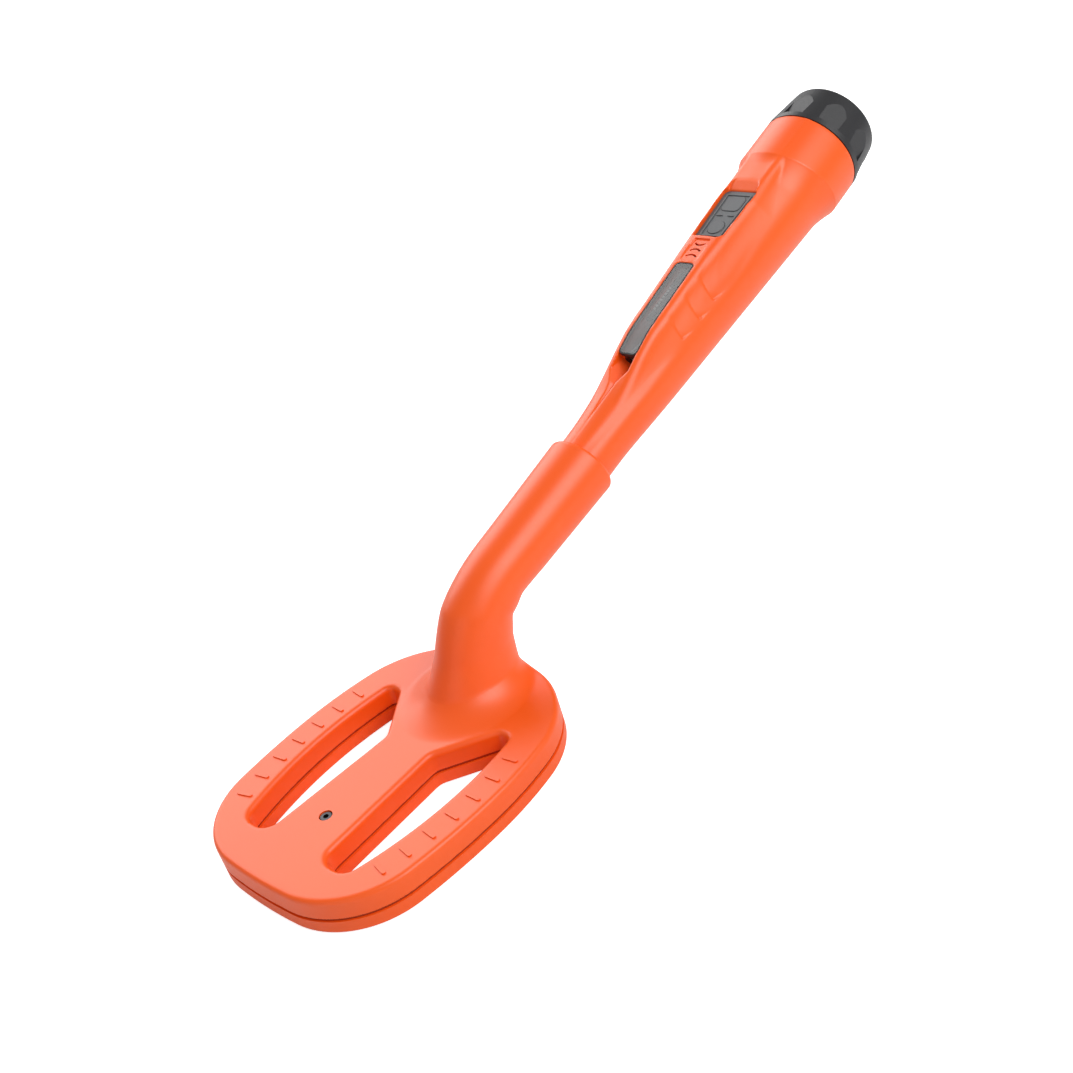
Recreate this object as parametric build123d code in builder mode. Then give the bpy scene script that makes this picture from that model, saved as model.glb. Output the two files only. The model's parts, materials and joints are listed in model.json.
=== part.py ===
from build123d import *
from math import asin, atan2, cos, degrees, hypot, radians, sin, sqrt, tan
import os

# Hand-held underwater metal detector: a flat search coil with two through slots, a hollow
# neck and sleeve, a tapered handle with window and keypad, and a screw cap at the far end.
# X is across, -Y is the tip of the coil, +Y runs towards the cap, Z is up.
# The origin is the centre of the coil's flat underside. All sizes are in millimetres.

os.makedirs("parts", exist_ok=True)

# Search coil
coil_half_width = 52.5
coil_front = 68.3
coil_rear = 66.4
coil_height = 15.4
front_end_radius = 226.0
front_corner_radius = 36.0
front_side_radius = 280.0
rear_end_radius = 165.0
rear_corner_radius = 42.5
rear_side_radius = 164.0
coil_wall = 2.2
coil_roof = 2.0
coil_floor = 2.0
seam_bottom = 5.6
seam_top = 6.9
seam_depth = 0.9
seal_width = 1.6
rim_round = 1.9
foot_round = 1.2
heel_depth = 1.2

# Through slots of the coil, on each side of the centre bar
slot_outer = 36.9
slot_outer_radius = 165.0
slot_front = -49.8
slot_rear = 30.4
slot_inner_front = 15.9
slot_inner_knee = 12.8
slot_knee_y = 8.6
slot_rear_inner = 28.6
slot_front_round = 6.2
slot_knee_round = 6.0
slot_rear_round = 3.2
slot_rim_round = 2.2

# Screw in the centre bar
screw_y = -33.5
screw_head_radius = 2.55
screw_head_height = 2.0
screw_sink = 0.4
screw_shank_radius = 1.5
screw_boss_radius = 4.5
screw_tip = 2.6
drive_radius = 1.2
drive_depth = 1.2

# Windings and their former
winding_inset = 3.4
winding_width = 5.0
transmit_bottom = 3.4
transmit_height = 3.6
receive_height = 2.8
former_thickness = 0.8
pickup_inset = 3.0
pickup_width = 2.2

# Raised bars on the limbs
bar_count = 7
bar_length = 7.0
bar_width = 1.6
bar_height = 0.5
bar_pitch = 10.5
bar_round = 0.7

# Handle axis, in the symmetry plane
axis_y = 30.0
axis_z = 35.9
axis_angle = 17.2

# Neck and sleeve, with stations measured along the handle axis
sleeve_mouth = 105.0
sleeve_mouth_radius = 14.4
sleeve_base = 45.0
sleeve_base_radius = 12.8
sleeve_base_lift = 2.4
mouth_round = 1.6
mouth_socket_depth = 8.0
spigot_end = 66.0
spigot_radius = 9.8
seal_squeeze = 0.85
plug_length = 9.0
ring_inset = 8.0
duct_radius = 3.2
cable_radius = 2.0
cable_y = 52.0
gland_radius = 4.0
cable_start = 8.2
cable_bend = 0.45

# Neck sections from the coil up to the sleeve: y, z, tilt, half width in x, half width along
neck_rows = (
    (39.0, 12.4, 0.0, 26.5, 26.0),
    (42.4, 16.6, 0.0, 21.0, 23.8),
    (47.4, 22.4, 0.0, 15.6, 20.6),
    (51.8, 31.4, 5.0, 13.4, 17.6),
    (58.6, 43.4, 30.0, 12.9, 14.9),
)

# Handle housing
shaft_radius = 11.9
shaft_end = 118.0
knee_station = 150.0
knee_radius = 14.1
body_end = 258.0
body_end_radius = 19.7
collar_radius = 23.0
collar_edge = 290.8
crease_top = 266.0
crease_tilt = 12.0
flare_length = 13.0
crease_step = 0.4
spine_foot_half_width = 8.0
spine_half_width = 10.2
spine_round = 3.4
spine_foot = 134.0
spine_toe = 152.0
spine_shoulder = 162.0
spine_crest = 206.0
spine_foot_height = 12.2
spine_toe_height = 17.0
spine_shoulder_height = 19.0
spine_crest_height = 20.9
spine_end_height = 21.4
spine_blend = 40.0

# Bores of the housing
lead_bore = 4.0
board_bore = 12.4
board_bore_start = 163.0
bay_bore = 17.0
bay_start = 245.0
cap_bore = 20.0
cap_bore_start = 279.0

# Running and seating clearances
fit = 0.1
loose = 0.3

# Keypad
pad_start = 216.3
pad_end = 245.8
pad_width_start = 14.8
pad_width_end = 17.2
pad_top = 18.9
pad_thickness = 2.0
pad_corner = 2.4
recess_reach = 6.0
chamber_width = 10.0
pocket_skin = 1.0
border_inset = 1.9
border_width = 0.7
border_height = 0.4
scoop_length = 5.5
key_travel = 0.8
key_gap = 0.15
key_corner = 2.6
key_round = 0.3
switch_floor = 0.3
mode_station = 238.2
mode_length = 9.0
mode_width = 9.6
power_station = 223.6
power_radius = 3.9
key_rise = 0.35
key_stem_radius = 1.6
switch_height = 1.8
switch_size = 6.0
plunger_radius = 1.1
key_board_top = 12.7
key_board_thickness = 1.2
dash_station = 231.0
dash_pitch = 6.0
dash_length = 3.2
dash_width = 0.7
dash_round = 0.33

# Window, indicators and lamp
window_start = 151.4
window_end = 199.6
window_half_width = 4.2
window_thickness = 1.6
window_corner = 1.6
gasket_width = 0.6
window_sink = 0.15
window_ledge = 0.8
lamp_chamber_depth = 9.0
light_board_start = 170.5
light_board_thickness = 1.0
led_count = 8
led_pitch = 1.75
led_first = 176.4
led_x = -2.5
led_height = 0.45
led_width = 0.9
led_length = 0.8
sensor_station = 174.0
sensor_radius = 0.9
lamp_source_length = 1.6
lamp_axis_height = 11.5
lamp_mouth_radius = 3.4
lamp_throat_radius = 1.3
lamp_length = 13.0
reflector_wall = 0.5
lamp_lens_thickness = 1.2
trough_length = 14.0
trough_half_width = 4.6
trough_depth = 7.6

# Sounder
sound_station = 208.0
sound_panel_half = 4.2
sound_panel_length = 6.4
sound_panel_sink = 0.3
sound_slot_pitch = 3.4
sound_slot_radius = 3.4
sound_slot_width = 0.9
sound_slot_sweep = 80.0
sound_slot_shift = 2.7
sound_panel_round = 0.9
sounder_radius = 5.2
sounder_thickness = 0.5
sounder_ring_height = 0.8
sounder_ring_width = 1.0
membrane_thickness = 0.3
sound_chamber_roof = 1.5

# Grip marks on both sides of the handle
mark_count = 3
mark_first = 169.4
mark_pitch = 11.5
mark_angle = 46.0
mark_cross = 7.4
mark_along = 6.4
mark_width = 0.8
mark_depth = 0.9

# Circuit board and what is on it
board_thickness = 1.6
board_half_width = 10.0
board_start = 168.0
board_end = 231.0
board_drop = 3.0
board_screw_margin_x = 2.5
board_screw_margin = 3.0
capacitor_radius = 2.4
capacitor_places = ((5.5, 215.0), (5.5, 224.0), (-6.0, 194.0))
capacitor_height = 5.0
board_screw_radius = 1.2
# Parts on the board: x, station, width, length, height
chip_rows = (
    (-4.0, 182.0, 6.0, 8.0, 1.4),
    (4.5, 190.0, 5.0, 5.0, 1.0),
    (0.0, 204.0, 9.0, 9.0, 1.2),
    (-5.0, 218.0, 5.0, 7.0, 1.6),
)
motor_radius = 3.0
motor_length = 12.0
motor_drop = 7.6
motor_station = 186.0
weight_length = 4.0
weight_radius = 2.8
motor_shaft_radius = 0.5

# Battery
battery_width = 26.5
battery_depth = 17.5
battery_length = 45.0
battery_start = 250.0
battery_round = 2.0
foam_pad_thickness = 1.6
terminal_radius = 2.8
contact_board_thickness = 1.6

# Screw cap
cap_length = 22.5
cap_gap = 0.3
cap_end_radius = 20.3
cap_band = 2.6
cap_edge_round = 2.6
cap_wall = 2.4
spigot_length = 10.5
cap_spigot_wall = 2.2
cap_ring_inset = 3.2
boss_length = 8.0
flute_half_width = 5.2
flute_end = 7.0
lug_chamfer = 0.7
flute_count = 8
flute_phase = 3.0
flute_depth = 1.9
cap_stem_radius = 3.0
plate_thickness = 1.8
plate_radius = 16.4
ring_radius = 0.9
lug_width = 6.5
lug_height = 2.4
lug_thickness = 3.4
lug_angle = 60.0


# Handle frame: along is the axis direction, rise is square to it in the symmetry plane
along = Vector(0, cos(radians(axis_angle)), sin(radians(axis_angle)))
rise = Vector(0, -sin(radians(axis_angle)), cos(radians(axis_angle)))
axis_origin = Vector(0, axis_y, axis_z)
handle_axis = Axis(axis_origin, along)

# Side view of the handle: local x is the station, local y the height above the axis
side = Plane(origin=axis_origin, x_dir=along, z_dir=(1, 0, 0))


# Cross-section of the handle at a station: local y is up, local x points to -X
def section(at):
    return Plane(origin=axis_origin + along * at, x_dir=(-1, 0, 0), z_dir=along)


# Plane parallel to the keypad: local x is X, local y is the station
def deck(height):
    return Plane(origin=axis_origin + rise * height, x_dir=(1, 0, 0), z_dir=rise)


# Outer radius of the tapered body at a station above the knee
def body_radius(at):
    share = (at - knee_station) / (body_end - knee_station)
    return knee_radius + share * (body_end_radius - knee_radius)


def write(piece, name):
    piece.part.label = name
    export_step(piece.part, f"parts/{name}.step")


# One quarter of the coil outline: an end arc, a corner arc and a side arc, all tangent.
# way is -1 for the front quarter and 1 for the rear quarter.
def quarter_arcs(way, reach, end_radius, corner_radius, side_radius, inset):
    end_y = reach - end_radius
    side_x = coil_half_width - side_radius
    span = hypot(side_x, end_y)
    a = end_radius - corner_radius
    b = side_radius - corner_radius
    along_span = (a * a - b * b + span * span) / (2 * span)
    off_span = sqrt(a * a - along_span * along_span)
    ux, uy = side_x / span, -end_y / span
    corner_x = ux * along_span - uy * off_span
    corner_y = end_y + uy * along_span + ux * off_span
    if corner_x < 0:
        corner_x = ux * along_span + uy * off_span
        corner_y = end_y + uy * along_span - ux * off_span
    end_angle = degrees(atan2(corner_y - end_y, corner_x))
    side_angle = degrees(atan2(corner_y, corner_x - side_x))
    CenterArc((side_x, 0), side_radius - inset, 0, way * side_angle)
    CenterArc(
        (corner_x, way * corner_y), corner_radius - inset,
        way * side_angle, way * (end_angle - side_angle),
    )
    CenterArc((0, way * end_y), end_radius - inset, way * end_angle, way * (90 - end_angle))


def coil_outline(inset=0.0):
    with BuildSketch() as outline:
        with BuildLine():
            quarter_arcs(-1, coil_front, front_end_radius, front_corner_radius,
                         front_side_radius, inset)
            quarter_arcs(1, coil_rear, rear_end_radius, rear_corner_radius,
                         rear_side_radius, inset)
            mirror(about=Plane.YZ)
        make_face()
    return outline.sketch


# Both through slots, grown on every side by the given amount
def slot_pair(grow=0.0):
    centre_x = slot_outer - slot_outer_radius
    start = degrees(asin(slot_front / slot_outer_radius))
    stop = degrees(asin(slot_rear / slot_outer_radius))
    with BuildSketch() as slot:
        with BuildLine():
            wall = CenterArc((centre_x, 0), slot_outer_radius, start, stop - start)
            Polyline(
                wall @ 1,
                (slot_rear_inner, slot_rear),
                (slot_inner_knee, slot_knee_y),
                (slot_inner_front, slot_front),
                wall @ 0,
            )
        make_face()
        fillet(slot.vertices().group_by(Axis.Y)[0], slot_front_round)
        fillet(slot.vertices().group_by(Axis.Y)[-1], slot_rear_round)
        fillet(slot.vertices().sort_by_distance((slot_inner_knee, slot_knee_y))[0],
               slot_knee_round)
        if grow:
            offset(amount=grow)
        mirror(about=Plane.YZ)
    return slot.sketch


# Coil outline with both slots left open, all walls moved inwards by the inset
def coil_ring(inset=0.0):
    with BuildSketch() as ring:
        add(coil_outline(inset))
        add(slot_pair(inset), mode=Mode.SUBTRACT)
    return ring.sketch


# Cable route from the coil, up the neck and along the sleeve
def cable_route(stop):
    bend = axis_origin + along * ((cable_y - axis_y) / along.Y)
    arm = min(bend.Z - cable_start, stop - (cable_y - axis_y) / along.Y)
    turn = radians(90 - axis_angle)
    radius = cable_bend * arm / sin(turn) * (1 + cos(turn))
    return FilletPolyline(
        (0, cable_y, cable_start), bend, axis_origin + along * stop, radius=radius
    )


# Elliptical section of the neck on a tilted plane
def neck_section(y, z, tilt, half_x, half_y):
    normal = (0, sin(radians(tilt)), cos(radians(tilt)))
    with BuildSketch(Plane(origin=(0, y, z), x_dir=(1, 0, 0), z_dir=normal)) as outline:
        Ellipse(half_x, half_y)
    return outline.sketch


# Round section square to the handle axis, lifted above it
def round_section(at, radius, lift=0.0):
    centre = axis_origin + along * at + rise * lift
    with BuildSketch(Plane(origin=centre, x_dir=(1, 0, 0), z_dir=along)) as outline:
        Circle(radius)
    return outline.sketch


with BuildPart() as coil_top_shell:
    with BuildSketch(Plane.XY.offset(seam_top)):
        add(coil_ring())
    extrude(amount=coil_height - seam_top)
    roof = coil_top_shell.faces().sort_by(Axis.Z)[-1]
    fillet(roof.outer_wire().edges(), rim_round)
    roof = coil_top_shell.faces().sort_by(Axis.Z)[-1]
    slot_edges = [edge for wire in roof.inner_wires() for edge in wire.edges()]
    fillet(slot_edges, slot_rim_round)
    sleeve_foot = round_section(sleeve_base, sleeve_base_radius, sleeve_base_lift)
    loft([neck_section(*row) for row in neck_rows] + [sleeve_foot])
    loft([sleeve_foot, round_section(sleeve_mouth, sleeve_mouth_radius)])
    mouth = coil_top_shell.faces().filter_by(GeomType.PLANE).sort_by(handle_axis)[-1]
    fillet(mouth.edges(), mouth_round)
    # Chamber for the windings, and the boss of the screw
    with BuildSketch(Plane.XY.offset(seam_top)):
        add(coil_ring(coil_wall))
        with Locations((0, screw_y)):
            Circle(screw_boss_radius, mode=Mode.SUBTRACT)
    extrude(amount=coil_height - coil_roof - seam_top, mode=Mode.SUBTRACT)
    with BuildSketch(Plane.XY.offset(coil_height)):
        with Locations((0, screw_y)):
            Circle(screw_head_radius + fit)
    extrude(amount=-(screw_sink + screw_head_height), mode=Mode.SUBTRACT)
    with BuildSketch(Plane.XY.offset(coil_height)):
        with Locations((0, screw_y)):
            Circle(screw_shank_radius + fit)
    extrude(amount=-coil_height, mode=Mode.SUBTRACT)
    # Socket for the handle and duct for the cable
    with BuildSketch(side):
        with BuildLine():
            Polyline(
                (sleeve_mouth + 1, 0),
                (sleeve_mouth + 1, shaft_radius + fit),
                (sleeve_mouth - mouth_socket_depth, shaft_radius + fit),
                (sleeve_mouth - mouth_socket_depth, spigot_radius + fit),
                (spigot_end - fit, spigot_radius + fit),
                (spigot_end - fit, 0),
                close=True,
            )
        make_face()
    revolve(axis=handle_axis, mode=Mode.SUBTRACT)
    with BuildLine() as duct:
        cable_route(spigot_end + 1)
    with BuildSketch(Plane(origin=duct.line @ 0, z_dir=duct.line % 0)):
        Circle(duct_radius)
    sweep(path=duct.line, mode=Mode.SUBTRACT)
write(coil_top_shell, "coil_top_shell")

# Slope of the ground under the detector when it lies on its rear edge and the cap's band
rest_point = (
    axis_origin + along * (collar_edge + cap_gap + cap_band) - rise * collar_radius
)
heel_angle = atan2(rest_point.Z, rest_point.Y - coil_rear)

# Bottom cover: a tray with rims round the outside and both slots, and the screw boss
with BuildPart() as coil_bottom_cover:
    with BuildSketch():
        add(coil_ring())
    extrude(amount=seam_bottom)
    foot = coil_bottom_cover.faces().sort_by(Axis.Z)[0]
    fillet(foot.edges(), foot_round)
    with BuildSketch(Plane.XY.offset(coil_floor)):
        add(coil_ring(coil_wall))
        with Locations((0, screw_y)):
            Circle(screw_boss_radius, mode=Mode.SUBTRACT)
    extrude(amount=seam_bottom, mode=Mode.SUBTRACT)
    with BuildSketch(Plane.XY.offset(seam_bottom)):
        with Locations((0, screw_y)):
            Circle(screw_boss_radius)
    extrude(amount=seam_top - seam_bottom)
    with BuildSketch(Plane.XY.offset(screw_tip)):
        with Locations((0, screw_y)):
            Circle(screw_shank_radius)
    extrude(amount=coil_height, mode=Mode.SUBTRACT)
    # Heel flat on the rear edge, in the plane the detector lies on with its cap on the ground
    with BuildSketch(Plane.YZ):
        Polygon(
            (coil_rear, heel_depth / cos(heel_angle)),
            (coil_rear, -heel_depth),
            (coil_rear - heel_depth / sin(heel_angle), -heel_depth),
            (coil_rear - heel_depth / sin(heel_angle), 0),
            align=None,
        )
    extrude(amount=coil_half_width, both=True, mode=Mode.SUBTRACT)
write(coil_bottom_cover, "coil_bottom_cover")

# Seal strips in the seam: one round the outside and one round each slot
with BuildPart() as coil_seam_seals:
    with BuildSketch(Plane.XY.offset(seam_bottom)):
        add(coil_outline(seam_depth))
        add(coil_outline(seam_depth + seal_width), mode=Mode.SUBTRACT)
        add(slot_pair(seam_depth + seal_width))
        add(slot_pair(seam_depth), mode=Mode.SUBTRACT)
    extrude(amount=seam_top - seam_bottom)
write(coil_seam_seals, "coil_seam_seals")


# Band that follows the coil outline
def outline_band(bottom, height, inset, width):
    with BuildPart() as band:
        with BuildSketch(Plane.XY.offset(bottom)):
            add(coil_outline(inset))
            add(coil_outline(inset + width), mode=Mode.SUBTRACT)
        extrude(amount=height)
    return band


transmit_winding = outline_band(transmit_bottom, transmit_height, winding_inset, winding_width)
write(transmit_winding, "transmit_winding")

former_bottom = transmit_bottom + transmit_height
winding_former = outline_band(former_bottom, former_thickness, winding_inset, winding_width)
write(winding_former, "winding_former")

receive_bottom = former_bottom + former_thickness
receive_winding = outline_band(receive_bottom, receive_height, winding_inset, winding_width)
write(receive_winding, "receive_winding")

# Spacer foam that carries the windings on the floor of the cover
spacer_height = transmit_bottom - coil_floor
coil_spacer_foam = outline_band(coil_floor, spacer_height, winding_inset, winding_width)
write(coil_spacer_foam, "coil_spacer_foam")

# Balance windings, one round each slot
with BuildPart() as balance_windings:
    with BuildSketch(Plane.XY.offset(receive_bottom)):
        add(slot_pair(pickup_inset + pickup_width))
        add(slot_pair(pickup_inset), mode=Mode.SUBTRACT)
    extrude(amount=receive_height)
write(balance_windings, "balance_windings")

screw_seat = coil_height - screw_sink - screw_head_height
with BuildPart() as coil_screw:
    with BuildSketch(Plane.XY.offset(screw_seat)):
        with Locations((0, screw_y)):
            Circle(screw_head_radius)
    extrude(amount=screw_head_height)
    with BuildSketch(Plane.XY.offset(screw_tip)):
        with Locations((0, screw_y)):
            Circle(screw_shank_radius)
    extrude(amount=screw_seat - screw_tip)
    chamfer(coil_screw.edges().sort_by(Axis.Z)[-1], screw_sink)
    with BuildSketch(Plane.XY.offset(screw_seat + screw_head_height)):
        with Locations((0, screw_y)):
            RegularPolygon(drive_radius, 6)
    extrude(amount=-drive_depth, mode=Mode.SUBTRACT)
write(coil_screw, "coil_screw")

# Plain raised bars along the middle of both limbs
limb_middle = (slot_outer + coil_half_width) / 2
bar_arc_radius = slot_outer_radius + limb_middle - slot_outer
bar_step = degrees(bar_pitch / bar_arc_radius)
with BuildPart() as limb_bars:
    with BuildSketch(Plane.XY.offset(coil_height)):
        for count in range(bar_count):
            turn = (count - (bar_count + 1) / 2) * bar_step
            centre = (
                limb_middle - bar_arc_radius + bar_arc_radius * cos(radians(turn)),
                bar_arc_radius * sin(radians(turn)),
            )
            with Locations(Location(centre, turn)):
                RectangleRounded(bar_length, bar_width, bar_round)
        mirror(about=Plane.YZ)
    extrude(amount=bar_height)
write(limb_bars, "limb_bars")

# Cable from the windings to the plug at the end of the handle's spigot
with BuildPart() as coil_cable:
    with BuildLine() as route:
        cable_route(spigot_end)
    with BuildSketch(Plane(origin=route.line @ 0, z_dir=route.line % 0)):
        Circle(cable_radius)
    sweep(path=route.line)
write(coil_cable, "coil_cable")

# Gland that holds the cable where it enters the neck
gland_top = coil_height - coil_roof
with BuildPart() as cable_gland:
    with BuildSketch(Plane.XY.offset(cable_start)):
        with Locations((0, cable_y)):
            Circle(gland_radius)
            Circle(cable_radius, mode=Mode.SUBTRACT)
    extrude(amount=gland_top - cable_start)
write(cable_gland, "cable_gland")


# Points of the spine's top line in the side view, lowered by the given amount
def spine_line(drop=0.0):
    return [
        (spine_foot, spine_foot_height - drop),
        (spine_toe, spine_toe_height - drop),
        (spine_shoulder, spine_shoulder_height - drop),
        (spine_crest, spine_crest_height - drop),
        (crease_top, spine_end_height - drop),
    ]


# Groove for a seal ring that stands just below the given radius
def ring_groove(at, radius):
    depth = seal_squeeze + ring_radius + fit
    with BuildSketch(side) as groove:
        with Locations((at, radius)):
            Rectangle(2 * (ring_radius + fit), 2 * depth)
    return groove.sketch


# Window outline on a plane parallel to the keypad, grown on every side
def window_outline(grow=0.0):
    length = window_end - window_start + 2 * grow
    with BuildSketch(deck(0)) as outline:
        with Locations((0, (window_start + window_end) / 2)):
            RectangleRounded(2 * (window_half_width + grow), length, window_corner + grow)
    return outline.sketch


# Keypad outline, slightly wider at the cap end, grown on every side
def pad_outline(height, grow=0.0):
    with BuildSketch(deck(height)) as outline:
        with BuildLine():
            Polyline(
                (-pad_width_start / 2, pad_start),
                (pad_width_start / 2, pad_start),
                (pad_width_end / 2, pad_end),
                (-pad_width_end / 2, pad_end),
                close=True,
            )
        make_face()
        fillet(outline.vertices(), pad_corner)
        if grow:
            offset(amount=grow)
    return outline.sketch


# Band of even thickness under the spine's surface, seen from the side
def spine_band(top_drop, bottom_drop):
    with BuildSketch(side) as band:
        with BuildLine():
            top = FilletPolyline(*spine_line(top_drop), radius=spine_blend)
            bottom = FilletPolyline(*spine_line(bottom_drop), radius=spine_blend)
            Line(top @ 0, bottom @ 0)
            Line(top @ 1, bottom @ 1)
        make_face()
    return band.sketch


# Plane that lies on one flank of the body at a grip mark
def mark_plane(turn, count):
    at = mark_first + count * mark_pitch
    outward = rise * cos(radians(turn)) + Vector(1, 0, 0) * sin(radians(turn))
    return Plane(
        origin=axis_origin + along * at + outward * body_radius(at),
        x_dir=along, z_dir=outward,
    )


# V section of the light trough, open at the top
def trough_section(at, floor):
    with BuildSketch(section(at)) as outline:
        Polygon(
            (-trough_half_width, spine_end_height),
            (trough_half_width, spine_end_height),
            (trough_half_width, floor + trough_half_width),
            (0, floor),
            (-trough_half_width, floor + trough_half_width),
            align=None,
        )
    return outline.sketch


# Three curved slots, the last one turned the other way
def sound_slots(height):
    with BuildSketch(deck(height)) as slots:
        for count, way in enumerate((1, 1, -1)):
            at = sound_station + (count - 1) * sound_slot_pitch
            centre = (0, at - way * sound_slot_shift)
            with Locations(Location(centre, way * 90 - sound_slot_sweep / 2)):
                SlotArc(
                    CenterArc((0, 0), sound_slot_radius, 0, sound_slot_sweep,
                              mode=Mode.PRIVATE),
                    sound_slot_width,
                )
    return slots.sketch


crease_centre = crease_top + collar_radius * tan(radians(crease_tilt))
crease = Plane(
    origin=axis_origin + along * crease_centre, x_dir=(1, 0, 0),
    z_dir=along * cos(radians(crease_tilt)) + rise * sin(radians(crease_tilt)),
)
sleeve_ring_stations = (spigot_end + ring_inset, spigot_end + 2 * ring_inset)
lamp_mouth_station = window_start + gasket_width
lamp_bore_radius = lamp_mouth_radius + reflector_wall + fit
lamp_axis = Axis(axis_origin + rise * lamp_axis_height, along)
pad_floor = pad_top - pad_thickness
with BuildPart() as handle_housing:
    with BuildSketch(side):
        with BuildLine():
            Polyline(
                (spigot_end, 0),
                (spigot_end, spigot_radius),
                (sleeve_mouth - mouth_socket_depth + fit, spigot_radius),
                (sleeve_mouth - mouth_socket_depth + fit, shaft_radius),
                (shaft_end, shaft_radius),
                (knee_station, knee_radius),
                (collar_edge, body_radius(collar_edge)),
                (collar_edge, 0),
                close=True,
            )
        make_face()
    revolve(axis=handle_axis)
    # Spine that carries the window and the keypad
    with BuildPart(mode=Mode.PRIVATE) as spine:
        with BuildSketch(side):
            with BuildLine():
                top = FilletPolyline(*spine_line(), radius=spine_blend)
                Polyline(top @ 1, (crease_top, 0), (spine_foot, 0), top @ 0)
            make_face()
        extrude(amount=spine_half_width, both=True)
        with BuildSketch(deck(0)):
            Polygon(
                (-spine_foot_half_width, spine_foot),
                (spine_foot_half_width, spine_foot),
                (spine_half_width, crease_top),
                (-spine_half_width, crease_top),
                align=None,
            )
        extrude(amount=2 * collar_radius, mode=Mode.INTERSECT)
        flanks = spine.faces().sort_by(Axis.X)
        top_edges = [
            edge for edge in flanks[0].edges() + flanks[-1].edges()
            if side.to_local_coords(edge.center()).Y > spine_foot_height
        ]
        fillet(top_edges, spine_round)
    add(spine.part)
    # Collar with a slanted crease and a flare that runs down onto the body
    with BuildPart(mode=Mode.PRIVATE) as collar:
        with BuildSketch(section(collar_edge)):
            Circle(collar_radius)
        extrude(amount=body_end - collar_edge)
        split(bisect_by=crease, keep=Keep.TOP)
    add(collar.part)
    flare_radius = collar_radius - crease_step
    with BuildSketch(crease) as flare_top:
        Ellipse(flare_radius, flare_radius / cos(radians(crease_tilt)))
    flare_start = crease_top - flare_length
    flare_foot = round_section(flare_start, body_radius(flare_start) - crease_step)
    loft([flare_foot, flare_top.sketch])
    # Bores: lead, circuit board, battery bay and the cap's socket
    with BuildSketch(side):
        with BuildLine():
            Polyline(
                (spigot_end, 0),
                (spigot_end, lead_bore),
                (board_bore_start, lead_bore),
                (board_bore_start, board_bore),
                (bay_start, board_bore),
                (bay_start, bay_bore),
                (cap_bore_start, bay_bore),
                (cap_bore_start, cap_bore),
                (collar_edge, cap_bore),
                (collar_edge, 0),
                close=True,
            )
        make_face()
    revolve(axis=handle_axis, mode=Mode.SUBTRACT)
    # Grooves for the seal rings of the spigot
    for at in sleeve_ring_stations:
        revolve(ring_groove(at, spigot_radius), axis=handle_axis, mode=Mode.SUBTRACT)
    # Keypad recess with a scooped end, and the chamber under it for the switches
    extrude(pad_outline(pad_floor, loose), amount=recess_reach, mode=Mode.SUBTRACT)
    with BuildSketch(side):
        with BuildLine():
            Polyline(
                (pad_end - pad_corner, pad_top),
                (pad_end, pad_top),
                (pad_end + scoop_length, spine_end_height + fit),
                (pad_end - pad_corner, spine_end_height + fit),
                close=True,
            )
        make_face()
    extrude(amount=pad_width_end / 2 - pad_corner / 2, both=True, mode=Mode.SUBTRACT)
    with BuildSketch(deck(0)):
        with Locations((0, (power_station + mode_station) / 2)):
            Rectangle(chamber_width, mode_station - power_station + chamber_width)
    extrude(amount=pad_floor - pocket_skin, mode=Mode.SUBTRACT)
    with BuildSketch(deck(0)):
        with Locations((0, power_station), (0, mode_station)):
            Circle(key_stem_radius + loose)
    extrude(amount=pad_top, mode=Mode.SUBTRACT)
    # Window recess, and the chamber under it for the lamp and the indicators
    with BuildPart(mode=Mode.PRIVATE) as window_recess:
        extrude(spine_band(-recess_reach, window_thickness + window_sink),
                amount=spine_half_width, both=True)
        extrude(window_outline(gasket_width + fit), amount=2 * collar_radius,
                mode=Mode.INTERSECT)
    add(window_recess.part, mode=Mode.SUBTRACT)
    with BuildPart(mode=Mode.PRIVATE) as window_chamber:
        extrude(spine_band(window_thickness, lamp_chamber_depth),
                amount=spine_half_width, both=True)
        extrude(window_outline(-window_ledge), amount=2 * collar_radius, mode=Mode.INTERSECT)
    add(window_chamber.part, mode=Mode.SUBTRACT)
    # Lamp bore and the V trough that lets its light out along the shaft
    with BuildSketch(side):
        Polygon(
            (lamp_mouth_station, lamp_axis_height),
            (lamp_mouth_station, lamp_axis_height + lamp_bore_radius),
            (board_bore_start + fit, lamp_axis_height + lamp_bore_radius),
            (board_bore_start + fit, lamp_axis_height),
            align=None,
        )
    revolve(axis=lamp_axis, mode=Mode.SUBTRACT)
    loft([trough_section(lamp_mouth_station, trough_depth),
          trough_section(lamp_mouth_station - trough_length, shaft_radius)],
         mode=Mode.SUBTRACT)
    # Sound openings with a shallow panel and a chamber for the sounder
    with BuildSketch(deck(spine_crest_height - sound_panel_sink)):
        with Locations((0, sound_station)):
            RectangleRounded(2 * sound_panel_half, 2 * sound_panel_length, sound_panel_round)
    extrude(amount=recess_reach, mode=Mode.SUBTRACT)
    extrude(sound_slots(board_bore), amount=spine_end_height, mode=Mode.SUBTRACT)
    with BuildSketch(deck(0)):
        with Locations((0, sound_station)):
            Circle(sounder_radius + loose)
    extrude(amount=spine_crest_height - sound_chamber_roof, mode=Mode.SUBTRACT)
    # Angled grip marks on both flanks
    for way in (1, -1):
        for count in range(mark_count):
            with BuildSketch(mark_plane(way * mark_angle, count)):
                with Locations((mark_along / 2, -way * mark_cross / 2)):
                    Rectangle(mark_along + mark_width, mark_width)
                Rectangle(mark_width, mark_cross + mark_width)
            extrude(amount=mark_depth, both=True, mode=Mode.SUBTRACT)
write(handle_housing, "handle_housing")


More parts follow.
